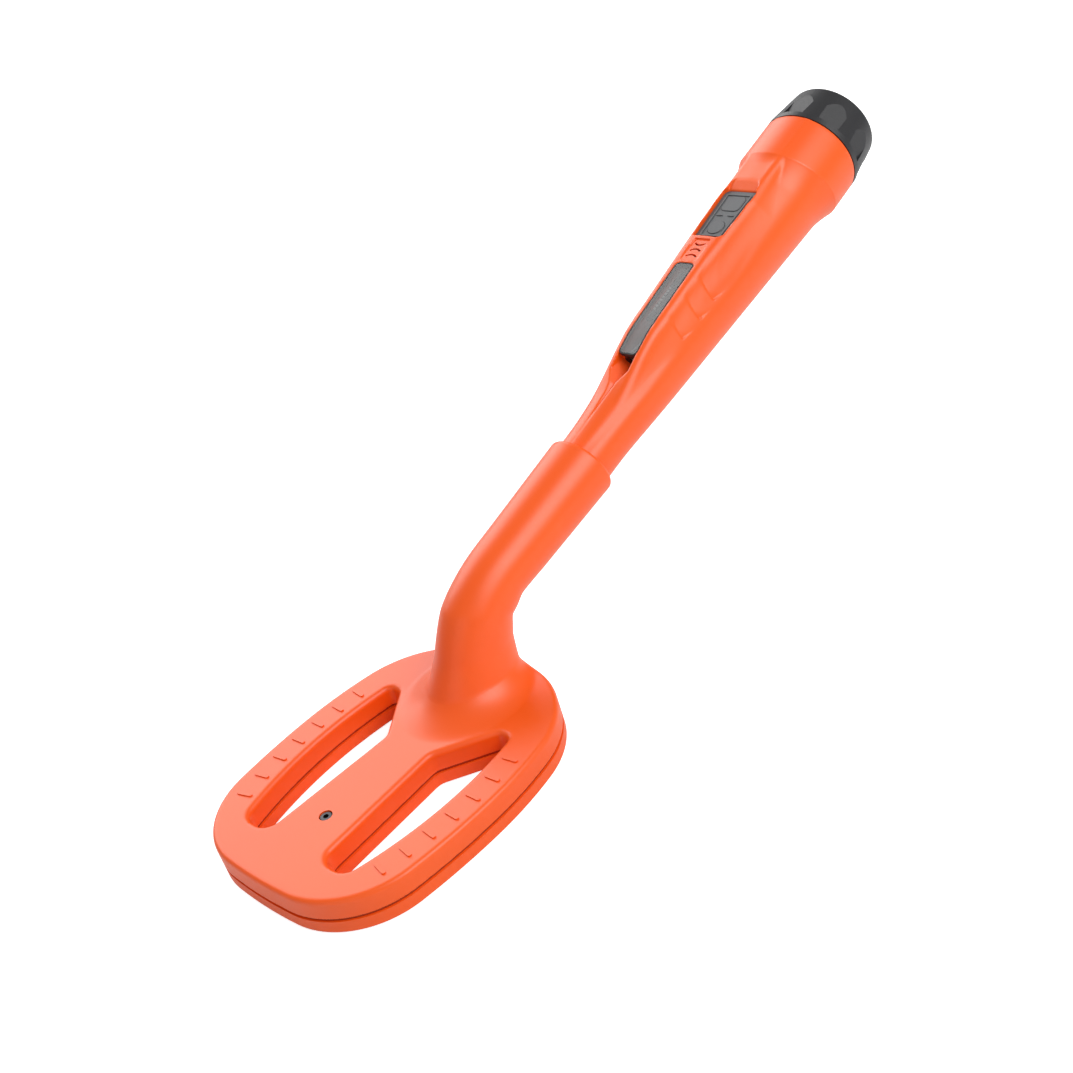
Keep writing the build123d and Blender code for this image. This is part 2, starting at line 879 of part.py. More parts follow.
# Solid turned about an axis parallel to the handle's, from (station, radius) points
def turned(points, axis=handle_axis, lift=0.0):
    with BuildPart() as piece:
        with BuildSketch(side):
            Polygon(*[(at, lift + radius) for at, radius in points], align=None)
        revolve(axis=axis)
    return piece


# Round bar or tube along the handle axis
def turned_tube(start, stop, outer, inner=0.0, axis=handle_axis, lift=0.0):
    return turned([(start, inner), (start, outer), (stop, outer), (stop, inner)], axis, lift)


# Rectangular block on a deck plane: across is X, the stations run along the handle
def deck_block(bottom, height, half_width, start, stop):
    with BuildPart() as block:
        with BuildSketch(deck(bottom)):
            with Locations((0, (start + stop) / 2)):
                Rectangle(2 * half_width, stop - start)
        extrude(amount=height)
    return block


# Seal rings of the spigot
with BuildPart() as sleeve_seal_rings:
    for at in sleeve_ring_stations:
        with BuildSketch(side):
            with Locations((at, spigot_radius - seal_squeeze)):
                Circle(ring_radius)
        revolve(axis=handle_axis)
write(sleeve_seal_rings, "sleeve_seal_rings")

# Keypad: a soft sheet with a raised border and openings for the two keys
with BuildPart() as keypad:
    extrude(pad_outline(pad_floor), amount=pad_thickness)
    extrude(pad_outline(pad_top, -border_inset), amount=border_height)
    extrude(pad_outline(pad_top, -border_inset - border_width), amount=border_height,
            mode=Mode.SUBTRACT)
    with BuildSketch(deck(pad_floor)):
        with Locations((0, mode_station)):
            RectangleRounded(mode_width + 2 * key_gap, mode_length + 2 * key_gap, key_corner)
        with Locations((0, power_station)):
            Circle(power_radius + key_gap)
    extrude(amount=2 * pad_thickness, mode=Mode.SUBTRACT)
    with BuildSketch(deck(pad_top)):
        with Locations((-dash_pitch / 2, dash_station), (dash_pitch / 2, dash_station)):
            RectangleRounded(dash_length, dash_width, dash_round)
    extrude(amount=border_height)
write(keypad, "keypad")


# Key with a stem that reaches down to its plunger
def key(at, outline):
    with BuildPart() as button:
        with BuildSketch(deck(pad_floor + key_clearance)):
            with Locations((0, at)):
                add(outline)
        extrude(amount=pad_thickness - key_clearance + key_rise)
        fillet(button.faces().sort_by(Axis((0, 0, 0), rise))[-1].edges(), key_round)
        with BuildSketch(deck(plunger_top)):
            with Locations((0, at)):
                Circle(key_stem_radius)
        extrude(amount=pad_floor + key_clearance - plunger_top)
    return button


key_clearance = key_travel + fit
plunger_top = key_board_top + switch_height + key_travel + fit
with BuildSketch() as mode_face:
    RectangleRounded(mode_width, mode_length, key_corner - key_gap)
with BuildSketch() as power_face:
    Circle(power_radius)

mode_key = key(mode_station, mode_face.sketch)
write(mode_key, "mode_key")
power_key = key(power_station, power_face.sketch)
write(power_key, "power_key")


# Plunger of a switch, which follows its key
def plunger(at):
    with BuildPart() as pin:
        with BuildSketch(deck(key_board_top + switch_floor + key_travel + fit)):
            with Locations((0, at)):
                Circle(plunger_radius)
        extrude(amount=plunger_top - key_board_top - switch_floor - key_travel - fit)
    return pin


mode_plunger = plunger(mode_station)
write(mode_plunger, "mode_plunger")
power_plunger = plunger(power_station)
write(power_plunger, "power_plunger")

# Switch bodies on their own small board
with BuildPart() as key_switches:
    with BuildSketch(deck(key_board_top)):
        with Locations((0, power_station), (0, mode_station)):
            Rectangle(switch_size, switch_size)
    extrude(amount=switch_height)
    with BuildSketch(deck(key_board_top + switch_floor)):
        with Locations((0, power_station), (0, mode_station)):
            Circle(plunger_radius + fit)
    extrude(amount=switch_height, mode=Mode.SUBTRACT)
write(key_switches, "key_switches")

key_board = deck_block(
    key_board_top - key_board_thickness, key_board_thickness, chamber_width / 2 - loose,
    power_station - switch_size / 2 - loose, mode_station + switch_size / 2 + loose,
)
write(key_board, "key_board")

# Clear window and the dark gasket round it
with BuildPart() as window:
    extrude(spine_band(window_sink, window_thickness + window_sink - fit),
            amount=spine_half_width, both=True)
    extrude(window_outline(), amount=2 * collar_radius, mode=Mode.INTERSECT)
write(window, "window")

with BuildPart() as window_gasket:
    extrude(spine_band(window_sink, window_thickness + window_sink - fit),
            amount=spine_half_width, both=True)
    extrude(window_outline(gasket_width), amount=2 * collar_radius, mode=Mode.INTERSECT)
    extrude(window_outline(), amount=2 * collar_radius, mode=Mode.SUBTRACT)
write(window_gasket, "window_gasket")

# Indicator board under the window, and its row of lights
light_board_top = (
    spine_shoulder_height - window_sink - window_thickness - led_height - fit
)
light_board = deck_block(
    light_board_top - light_board_thickness, light_board_thickness,
    window_half_width - window_ledge - fit, light_board_start, window_end - 2 * window_ledge,
)
write(light_board, "light_board")

with BuildPart() as indicator_lights:
    with BuildSketch(deck(light_board_top)):
        for count in range(led_count):
            with Locations((led_x, led_first + count * led_pitch)):
                Rectangle(led_width, led_length)
    extrude(amount=led_height)
write(indicator_lights, "indicator_lights")

# Round sensor on the indicator board
with BuildPart() as light_sensor:
    with BuildSketch(deck(light_board_top)):
        with Locations((0, sensor_station)):
            Circle(sensor_radius)
    extrude(amount=led_height)
write(light_sensor, "light_sensor")

# Lamp: bright cone, its light source, and the clear disc at its mouth
lamp_back = lamp_mouth_station + lamp_lens_thickness + fit + lamp_length
with BuildPart() as lamp_reflector:
    add(turned([
        (lamp_mouth_station + lamp_lens_thickness + fit, lamp_mouth_radius),
        (lamp_mouth_station + lamp_lens_thickness + fit, lamp_mouth_radius + reflector_wall),
        (lamp_back, lamp_throat_radius + reflector_wall),
        (lamp_back, lamp_throat_radius),
    ], lamp_axis, lamp_axis_height).part)
write(lamp_reflector, "lamp_reflector")

lamp_source = turned_tube(lamp_back, lamp_back + lamp_source_length, lamp_throat_radius, 0.0,
                          lamp_axis, lamp_axis_height)
write(lamp_source, "lamp_source")

lamp_lens = turned_tube(lamp_mouth_station, lamp_mouth_station + lamp_lens_thickness,
                        lamp_mouth_radius + reflector_wall, 0.0, lamp_axis, lamp_axis_height)
write(lamp_lens, "lamp_lens")

# Sounder disc, its ring and the sealing membrane above
sound_roof = spine_crest_height - sound_chamber_roof


def sound_disc(bottom, height, outer, inner=0.0):
    with BuildPart() as disc:
        with BuildSketch(deck(bottom)):
            with Locations((0, sound_station)):
                Circle(outer)
                if inner:
                    Circle(inner, mode=Mode.SUBTRACT)
        extrude(amount=height)
    return disc


sound_membrane = sound_disc(sound_roof - membrane_thickness, membrane_thickness,
                            sounder_radius)
write(sound_membrane, "sound_membrane")

ring_bottom = sound_roof - membrane_thickness - sounder_ring_height
sounder_ring = sound_disc(ring_bottom, sounder_ring_height, sounder_radius,
                          sounder_radius - sounder_ring_width)
write(sounder_ring, "sounder_ring")

sounder = sound_disc(ring_bottom - sounder_thickness, sounder_thickness, sounder_radius)
write(sounder, "sounder")

# Main circuit board and what is on it
board_bottom = -board_drop - board_thickness
main_board = deck_block(board_bottom, board_thickness, board_half_width, board_start, board_end)
write(main_board, "main_board")


# Rectangular parts that stand on the board
def board_blocks(rows):
    with BuildPart() as blocks:
        for x, at, width, length, height in rows:
            with BuildSketch(deck(-board_drop)):
                with Locations((x, at)):
                    Rectangle(width, length)
            extrude(amount=height)
    return blocks


board_chips = board_blocks(chip_rows)
write(board_chips, "board_chips")

with BuildPart() as board_capacitors:
    with BuildSketch(deck(-board_drop)):
        with Locations(*capacitor_places):
            Circle(capacitor_radius)
    extrude(amount=capacitor_height)
write(board_capacitors, "board_capacitors")

with BuildPart() as board_screws:
    with BuildSketch(deck(-board_drop)):
        with Locations((0, (board_start + board_end) / 2)):
            with GridLocations(
                2 * (board_half_width - board_screw_margin_x),
                board_end - board_start - 2 * board_screw_margin, 2, 2,
            ):
                Circle(board_screw_radius)
    extrude(amount=board_screw_radius)
write(board_screws, "board_screws")

# Vibration motor under the board, with its shaft and half-round weight
motor_axis = Axis(axis_origin - rise * motor_drop, along)
motor_body = turned_tube(motor_station, motor_station + motor_length, motor_radius,
                         motor_shaft_radius + fit, motor_axis, -motor_drop)
write(motor_body, "motor_body")

weight_start = motor_station + motor_length + loose
motor_shaft = turned_tube(motor_station + loose, weight_start + weight_length,
                          motor_shaft_radius, 0.0, motor_axis, -motor_drop)
write(motor_shaft, "motor_shaft")

with BuildPart() as motor_weight:
    with BuildSketch(section(weight_start)):
        with Locations((0, -motor_drop)):
            Circle(weight_radius)
            with Locations((0, weight_radius)):
                Rectangle(2 * weight_radius, 2 * weight_radius, mode=Mode.SUBTRACT)
            Circle(2 * motor_shaft_radius)
            Circle(motor_shaft_radius, mode=Mode.SUBTRACT)
    extrude(amount=weight_length)
write(motor_weight, "motor_weight")

# Battery, its terminals and the board they press on
contact_board = turned_tube(bay_start, bay_start + contact_board_thickness, bay_bore - fit)
write(contact_board, "contact_board")

with BuildPart() as battery_terminals:
    with BuildSketch(section(bay_start + contact_board_thickness)):
        with Locations((battery_width / 4, 0), (-battery_width / 4, 0)):
            Circle(terminal_radius)
    extrude(amount=battery_start - bay_start - contact_board_thickness)
write(battery_terminals, "battery_terminals")

with BuildPart() as battery:
    with BuildSketch(section(battery_start)):
        RectangleRounded(battery_width, battery_depth, battery_round)
    extrude(amount=battery_length)
write(battery, "battery")

# Foam cradle halves that hold the battery in the round bay
with BuildPart() as battery_foam:
    with BuildSketch(section(battery_start + battery_round)):
        Circle(bay_bore - fit)
        RectangleRounded(battery_width + fit, battery_depth + fit, battery_round,
                         mode=Mode.SUBTRACT)
        Rectangle(2 * bay_bore, battery_depth - 2 * battery_round, mode=Mode.SUBTRACT)
    extrude(amount=battery_length - 2 * battery_round - spigot_length)
write(battery_foam, "battery_foam")

# Plug, socket and lead between the coil cable and the circuit board
plug_end = spigot_end + plug_length
coil_plug = turned_tube(spigot_end, plug_end, lead_bore - fit)
write(coil_plug, "coil_plug")
coil_socket = turned_tube(plug_end, plug_end + plug_length, lead_bore - fit)
write(coil_socket, "coil_socket")
board_lead = turned_tube(plug_end + plug_length, board_start, cable_radius)
write(board_lead, "board_lead")

# Screw cap: band, tapered wall, hollow spigot, centre boss and the lug on its end
cap_start = collar_edge + cap_gap
cap_stop = cap_start + cap_length
cap_spigot_radius = cap_bore - fit
cap_cavity = cap_spigot_radius - cap_spigot_wall
cap_ring_stations = (cap_start - 2 * cap_ring_inset, cap_start - cap_ring_inset)
boss_start = cap_stop - cap_wall - boss_length
flute_share = flute_end / (cap_length - cap_band)
flute_end_radius = cap_end_radius + flute_share * (collar_radius - cap_end_radius)
with BuildPart() as cap:
    add(turned([
        (cap_start - spigot_length, cap_cavity),
        (cap_start - spigot_length, cap_spigot_radius),
        (cap_start, cap_spigot_radius),
        (cap_start, collar_radius),
        (cap_start + cap_band, collar_radius),
        (cap_stop, cap_end_radius),
        (cap_stop, 0),
        (cap_stop - cap_wall, 0),
        (cap_stop - cap_wall, cap_stem_radius + fit),
        (boss_start, cap_stem_radius + fit),
        (boss_start, cap_stem_radius + fit + cap_spigot_wall),
        (cap_stop - cap_wall, cap_stem_radius + fit + cap_spigot_wall),
        (cap_stop - cap_wall, cap_cavity),
    ]).part)
    fillet(cap.faces().filter_by(GeomType.PLANE).sort_by(handle_axis)[-1].edges(),
           cap_edge_round)
    # Flutes: wedge-shaped recesses, deepest next to the band and fading out at the end
    with BuildPart(mode=Mode.PRIVATE) as flute:
        with BuildSketch(side):
            Polygon(
                (cap_start + cap_band, collar_radius - flute_depth),
                (cap_start + cap_band, collar_radius + flute_depth),
                (cap_stop - flute_end, collar_radius + flute_depth),
                (cap_stop - flute_end, flute_end_radius),
                align=None,
            )
        extrude(amount=flute_half_width, both=True)
    for count in range(flute_count):
        turn = count * 360 / flute_count - flute_phase
        add(flute.part.rotate(handle_axis, turn), mode=Mode.SUBTRACT)
    for at in cap_ring_stations:
        revolve(ring_groove(at, cap_spigot_radius), axis=handle_axis, mode=Mode.SUBTRACT)
    with BuildPart(mode=Mode.PRIVATE) as lug:
        with BuildSketch(section(cap_stop)):
            with Locations((0, cap_end_radius - cap_edge_round - lug_thickness / 2)):
                Rectangle(lug_width, lug_thickness)
        extrude(amount=lug_height)
        chamfer(lug.faces().sort_by(handle_axis)[-1].edges(), lug_chamfer)
    add(lug.part.rotate(handle_axis, -lug_angle))
write(cap, "cap")

with BuildPart() as cap_seal_rings:
    for at in cap_ring_stations:
        with BuildSketch(side):
            with Locations((at, cap_spigot_radius - seal_squeeze)):
                Circle(ring_radius)
        revolve(axis=handle_axis)
write(cap_seal_rings, "cap_seal_rings")

# Pressure plate that doesn't turn with the cap: its stem turns in the cap's boss
plate_start = battery_start + battery_length + foam_pad_thickness + loose
with BuildPart() as pressure_plate:
    add(turned([
        (plate_start, 0),
        (plate_start, plate_radius),
        (plate_start + plate_thickness, plate_radius),
        (plate_start + plate_thickness, cap_stem_radius),
        (cap_stop - cap_wall - fit, cap_stem_radius),
        (cap_stop - cap_wall - fit, 0),
    ]).part)
write(pressure_plate, "pressure_plate")

pressure_pad = turned_tube(plate_start - foam_pad_thickness, plate_start, battery_depth / 2)
write(pressure_pad, "pressure_pad")
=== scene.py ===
import json
import math

import bmesh
import bpy
import numpy as np
from mathutils import Matrix, Vector


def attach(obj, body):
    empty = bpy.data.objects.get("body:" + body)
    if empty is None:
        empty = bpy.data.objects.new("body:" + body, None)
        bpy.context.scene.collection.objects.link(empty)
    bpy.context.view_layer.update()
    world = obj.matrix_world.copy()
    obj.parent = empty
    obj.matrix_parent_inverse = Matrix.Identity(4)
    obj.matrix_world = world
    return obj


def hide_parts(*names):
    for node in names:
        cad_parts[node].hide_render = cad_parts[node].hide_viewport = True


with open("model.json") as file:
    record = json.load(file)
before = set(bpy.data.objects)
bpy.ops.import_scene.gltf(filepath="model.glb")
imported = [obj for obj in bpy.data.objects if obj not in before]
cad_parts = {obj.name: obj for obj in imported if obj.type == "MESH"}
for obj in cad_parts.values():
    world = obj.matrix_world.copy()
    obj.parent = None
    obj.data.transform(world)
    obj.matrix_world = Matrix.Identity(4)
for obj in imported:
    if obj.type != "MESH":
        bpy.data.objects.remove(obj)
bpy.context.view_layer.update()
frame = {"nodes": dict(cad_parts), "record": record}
nodes = frame["nodes"]
mm = 0.001

# the handle's own directions: x across, s along the axis, u square to it on the keypad side
handle = {"startY": 30.0, "startZ": 35.9, "tilt": 17.2}
handleTilt = math.radians(handle["tilt"])
handlePlace = (
    Matrix.Translation((0, handle["startY"], handle["startZ"]))
    @ Matrix.Rotation(handleTilt, 4, "X")
)
rowPlace = Matrix.Identity(4)


def toLinear(code):
    shares = [int(code[i:i + 2], 16) / 255 for i in (1, 3, 5)]
    return tuple(v / 12.92 if v <= 0.04045 else ((v + 0.055) / 1.055) ** 2.4 for v in shares) + (1,)


def addNode(tree, kind, settings=None, links=None):
    node = tree.nodes.new(kind)
    for key, value in (settings or {}).items():
        if key in node.inputs:
            node.inputs[key].default_value = value
        else:
            setattr(node, key, value)
    for key, (source, output) in (links or {}).items():
        tree.links.new(source.outputs[output], node.inputs[key])
    return node


def startMaterial(name, sockets):
    material = bpy.data.materials.new(name)
    material.use_nodes = True
    tree = material.node_tree
    shader = tree.nodes["Principled BSDF"]
    for key, value in sockets.items():
        shader.inputs[key].default_value = value
    place = addNode(tree, "ShaderNodeTexCoord")
    return material, tree, shader, place


def mottle(tree, shader, place, low, high, size):
    # slow drift of colour over a moulding, size in mm
    drift = addNode(tree, "ShaderNodeTexNoise", {"Scale": 1000 / size, "Detail": 2.0},
                    {"Vector": (place, "Object")})
    ramp = addNode(tree, "ShaderNodeValToRGB", None, {"Fac": (drift, "Fac")})
    ramp.color_ramp.elements[0].position = 0.3
    ramp.color_ramp.elements[1].position = 0.7
    ramp.color_ramp.elements[0].color = toLinear(low)
    ramp.color_ramp.elements[1].color = toLinear(high)
    tree.links.new(ramp.outputs["Color"], shader.inputs["Base Color"])


def grain(tree, shader, place, size, depth, rough):
    # fine skin of a moulding or a film: size and depth in mm, rough is its low and high
    fine = addNode(tree, "ShaderNodeTexNoise", {"Scale": 1000 / size, "Detail": 3.0},
                   {"Vector": (place, "Object")})
    bump = addNode(tree, "ShaderNodeBump", {"Distance": depth * mm, "Strength": 1.0},
                   {"Height": (fine, "Fac")})
    tree.links.new(bump.outputs["Normal"], shader.inputs["Normal"])
    spread = addNode(tree, "ShaderNodeMapRange",
                     {"From Min": 0.3, "From Max": 0.7, "To Min": rough[0], "To Max": rough[1]},
                     {"Value": (fine, "Fac")})
    tree.links.new(spread.outputs["Result"], shader.inputs["Roughness"])


def mouldedPlastic(name, low, high, size, depth, rough, sockets=None):
    material, tree, shader, place = startMaterial(name, sockets or {})
    mottle(tree, shader, place, low, high, 60.0)
    grain(tree, shader, place, size, depth, rough)
    return material


# ABS moulded in a spark-eroded tool: a satin skin, drawn about twice as coarse as it is
orangeAbs = mouldedPlastic("orange_abs_satin_moulded", "#F8590C", "#FB5E10", 0.5, 0.006,
                           (0.34, 0.42), {"IOR": 1.54})
# glass-filled nylon cap: charcoal with a slightly dull, even skin
blackNylon = mouldedPlastic("black_nylon_moulded", "#232325", "#28282B", 0.6, 0.012, (0.36, 0.46),
                            {"IOR": 1.53})
# liquid silicone keypad: mid grey, soft and almost without gloss
greySilicone = mouldedPlastic("grey_silicone_moulded", "#5C5E60", "#626466", 0.4, 0.008,
                              (0.46, 0.56), {"IOR": 1.41})
# printed legend under the window
greyPrint = mouldedPlastic("grey_screen_print", "#737577", "#7C7E80", 0.8, 0.003, (0.4, 0.5))
# thermoplastic rubber of gaskets and seal rings
darkRubber = mouldedPlastic("black_rubber_seal", "#18181A", "#1E1E20", 0.5, 0.008, (0.5, 0.62))
# seal cord in the coil seam: a real part, tinted darker orange than the shells as painted shade of
# the recessed groove
seamSealPaintedShade = mouldedPlastic("seam_seal_painted_shade", "#A83A08", "#B0400A", 0.5, 0.008, (0.5, 0.6))
paleNylon = mouldedPlastic("natural_nylon_moulded", "#D8D6CC", "#E0DED4", 0.5, 0.008, (0.4, 0.5))
moldedChip = mouldedPlastic("black_epoxy_chip", "#0C0C0D", "#131314", 0.3, 0.01, (0.5, 0.6))
whitePlastic = mouldedPlastic("white_diffuser_moulded", "#F4F3EE", "#FBFAF6", 0.6, 0.003,
                              (0.25, 0.32), {"Emission Strength": 0.25})
whitePlastic.node_tree.nodes["Principled BSDF"].inputs["Emission Color"].default_value = (1, 1, 1, 1)
cableVinyl = mouldedPlastic("black_vinyl_jacket", "#161617", "#1B1B1C", 0.5, 0.01, (0.4, 0.5))
batterySleeve = mouldedPlastic("printed_battery_sleeve", "#2C3340", "#343C4A", 3.0, 0.004,
                               (0.25, 0.35))
filmMembrane = mouldedPlastic("expanded_film_membrane", "#1A1A1C", "#202022", 0.3, 0.01, (0.6, 0.7))


def drawnMetal(name, low, high, rough, size):
    # metal with fine marks from drawing or turning
    material, tree, shader, place = startMaterial(name, {"Metallic": 1.0})
    mottle(tree, shader, place, low, high, 8.0)
    grain(tree, shader, place, size, 0.004, rough)
    return material


blackSteel = drawnMetal("blackened_steel_screw", "#3A3B3D", "#4A4B4E", (0.3, 0.42), 0.4)
brightSteel = drawnMetal("stainless_steel_turned", "#B9BABC", "#C8C9CB", (0.2, 0.3), 0.4)
rolledBrass = drawnMetal("rolled_brass", "#C9A45A", "#D6B267", (0.22, 0.32), 0.5)
vacuumChrome = drawnMetal("vacuum_metallised_reflector", "#D4D5D8", "#E4E5E8", (0.05, 0.1), 2.0)


def woundCopper():
    # enamelled wire laid side by side: 0.4 mm strands show as fine ribs
    material, tree, shader, place = startMaterial("enamelled_copper_winding", {"Metallic": 1.0})
    mottle(tree, shader, place, "#A4582C", "#B96A38", 5.0)
    strands = addNode(tree, "ShaderNodeTexWave",
                      {"bands_direction": "Z", "Scale": 1000 / (0.4 * 20), "Distortion": 0.4},
                      {"Vector": (place, "Object")})
    bump = addNode(tree, "ShaderNodeBump", {"Distance": 0.1 * mm}, {"Height": (strands, "Fac")})
    tree.links.new(bump.outputs["Normal"], shader.inputs["Normal"])
    shader.inputs["Roughness"].default_value = 0.28
    return material


def circuitLaminate():
    # glass laminate under green solder mask, with the tracks' faint relief
    material, tree, shader, place = startMaterial("green_solder_mask_laminate",
                                                  {"Roughness": 0.28, "IOR": 1.5})
    tracks = addNode(tree, "ShaderNodeTexBrick",
                     {"Scale": 1000 / 6.0, "Mortar Size": 0.03, "Color1": toLinear("#0F4A2A"),
                      "Color2": toLinear("#12532F"), "Mortar": toLinear("#1E6B40")},
                     {"Vector": (place, "Object")})
    tree.links.new(tracks.outputs["Color"], shader.inputs["Base Color"])
    bump = addNode(tree, "ShaderNodeBump", {"Distance": 0.03 * mm}, {"Height": (tracks, "Fac")})
    tree.links.new(bump.outputs["Normal"], shader.inputs["Normal"])
    return material


def openCellFoam():
    # polyurethane foam: 0.7 mm cells with thin walls, the hollows painted darker as painted shade
    material, tree, shader, place = startMaterial("open_cell_foam", {"Roughness": 0.9})
    cells = addNode(tree, "ShaderNodeTexVoronoi", {"Scale": 1000 / 0.7},
                    {"Vector": (place, "Object")})
    # dark at the sunken cell centres, light on the walls: painted shade in the pores
    ramp = addNode(tree, "ShaderNodeValToRGB", None, {"Fac": (cells, "Distance")})
    ramp.color_ramp.elements[0].color = toLinear("#232326")
    ramp.color_ramp.elements[1].color = toLinear("#4A4A4F")
    tree.links.new(ramp.outputs["Color"], shader.inputs["Base Color"])
    bump = addNode(tree, "ShaderNodeBump", {"Distance": 0.3 * mm}, {"Height": (cells, "Distance")})
    tree.links.new(bump.outputs["Normal"], shader.inputs["Normal"])
    return material


def smokedPane():
    # smoked polycarbonate: polished, tinted grey, the parts under it stay readable
    material, tree, shader, place = startMaterial("smoked_polycarbonate_pane", {
        "IOR": 1.585, "Alpha": 0.56, "Specular IOR Level": 0.8})
    mottle(tree, shader, place, "#1C1E20", "#222426", 20.0)
    shader.inputs["Roughness"].default_value = 0.06
    return material


windingCopper = woundCopper()
greenLaminate = circuitLaminate()
greyFoam = openCellFoam()
paneSmoked = smokedPane()

slotFinish = {
    "orange_shell": orangeAbs, "dark_seal": darkRubber, "copper_wire": windingCopper,
    "nylon": paleNylon, "foam": greyFoam, "dark_steel": blackSteel, "steel": brightSteel,
    "cable_jacket": cableVinyl, "keypad_rubber": greySilicone, "chip_black": moldedChip,
    "circuit_board": greenLaminate, "window_clear": paneSmoked, "light_white": whitePlastic,
    "mirror_bright": vacuumChrome, "membrane": filmMembrane, "sounder_brass": rolledBrass,
    "battery_case": batterySleeve, "cap_black": blackNylon,
}
for part in frame["record"]["subparts"]:
    piece = nodes[part["node"]]
    piece.data.materials.clear()
    piece.data.materials.append(slotFinish[part["material_slot"]])
# the seam seals get the dark orange tone that is painted shade of the groove
nodes["coil_seam_seals"].data.materials[0] = seamSealPaintedShade
nodes["light_board"].data.materials[0] = greyPrint
print("finishes made:", len(bpy.data.materials))


def makePiece(name, points, faces, place, material):
    # points in mm in the given place; the finished object sits at the origin, in metres
    flat = np.asarray(points, float) @ np.array(place.to_3x3()).T + np.array(place.translation)
    mesh = bpy.data.meshes.new(name)
    mesh.from_pydata((flat * mm).tolist(), [], [list(f) for f in faces])
    mesh.materials.append(material)
    piece = bpy.data.objects.new(name, mesh)
    bpy.context.scene.collection.objects.link(piece)
    return piece


def takeOn(piece, body, slotName, *stoodFor):
    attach(piece, body)
    if stoodFor:
        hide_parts(*stoodFor)
    return piece


def bakeModifiers(piece):
    mesh = bpy.data.meshes.new_from_object(
        piece.evaluated_get(bpy.context.evaluated_depsgraph_get())
    )
    piece.modifiers.clear()
    piece.data = mesh
    return piece


def carve(piece, cutters, operation="DIFFERENCE"):
    for cutter in cutters:
        step = piece.modifiers.new("carve", "BOOLEAN")
        step.operation = operation
        step.object = cutter
        step.solver = "MANIFOLD"
        before = len(piece.data.polygons)
        bakeModifiers(piece)
        print("carved", piece.name, "with", cutter.name, before, "to", len(piece.data.polygons))
        bpy.data.objects.remove(cutter)
    return piece


def smoothBelow(piece, angle):
    piece.data.shade_smooth()
    piece.data.set_sharp_from_angle(angle=math.radians(angle))


def turnedSolid(name, profile, place, material, steps=96, lift=0.0):
    # profile is (station, radius) from axis to axis, turned about the s direction at height lift
    points, rings = [], []
    for at, radius in profile:
        if radius < 1e-6:
            rings.append([len(points)])
            points.append((0, at, lift))
        else:
            rings.append(list(range(len(points), len(points) + steps)))
            points += [(radius * math.sin(2 * math.pi * k / steps), at,
                        lift + radius * math.cos(2 * math.pi * k / steps)) for k in range(steps)]
    faces = []
    for a, b in zip(rings, rings[1:]):
        for k in range(steps):
            n = (k + 1) % steps
            corner = [a[k % len(a)], a[n % len(a)], b[n % len(b)], b[k % len(b)]]
            face = list(dict.fromkeys(corner))
            if len(face) > 2:
                faces.append(face)
    piece = makePiece(name, points, faces, place, material)
    outward(piece)
    return piece


def outward(piece):
    shape = bmesh.new()
    shape.from_mesh(piece.data)
    bmesh.ops.remove_doubles(shape, verts=shape.verts, dist=1e-7)
    bmesh.ops.recalc_face_normals(shape, faces=shape.faces)
    shape.to_mesh(piece.data)
    shape.free()


def prism(name, loop, low, high, place, material):
    count = len(loop)
    points = [(x, y, low) for x, y in loop] + [(x, y, high) for x, y in loop]
    faces = [list(range(count))[::-1], list(range(count, 2 * count))]
    faces += [(k, (k + 1) % count, count + (k + 1) % count, count + k) for k in range(count)]
    piece = makePiece(name, points, faces, place, material)
    outward(piece)
    return piece


def roundedLoop(halfX, halfY, radius, centre=(0, 0), steps=8):
    loop = []
    for cx, cy, start in ((1, 1, 0), (-1, 1, 90), (-1, -1, 180), (1, -1, 270)):
        for k in range(steps + 1):
            turn = math.radians(start + 90 * k / steps)
            loop.append((centre[0] + cx * (halfX - radius) + radius * math.cos(turn),
                         centre[1] + cy * (halfY - radius) + radius * math.sin(turn)))
    return loop


def filletJoin(a, b, radius):
    return (np.maximum(radius, np.minimum(a, b))
            - np.hypot(np.maximum(radius - a, 0), np.maximum(radius - b, 0)))


def filletCut(a, b, radius):
    return (np.minimum(-radius, np.maximum(a, b))
            + np.hypot(np.maximum(radius + a, 0), np.maximum(radius + b, 0)))


def softLine(at, line, reach):
    stations, values = zip(*line)
    return sum(np.interp(at + reach * k, stations, values) for k in (-1, -0.5, 0, 0.5, 1)) / 5


def softBox(across, along, halfAcross, halfAlong, radius):
    qa = np.abs(across) - (halfAcross - radius)
    qb = np.abs(along) - (halfAlong - radius)
    return (np.hypot(np.maximum(qa, 0), np.maximum(qb, 0))
            + np.minimum(np.maximum(qa, qb), 0) - radius)


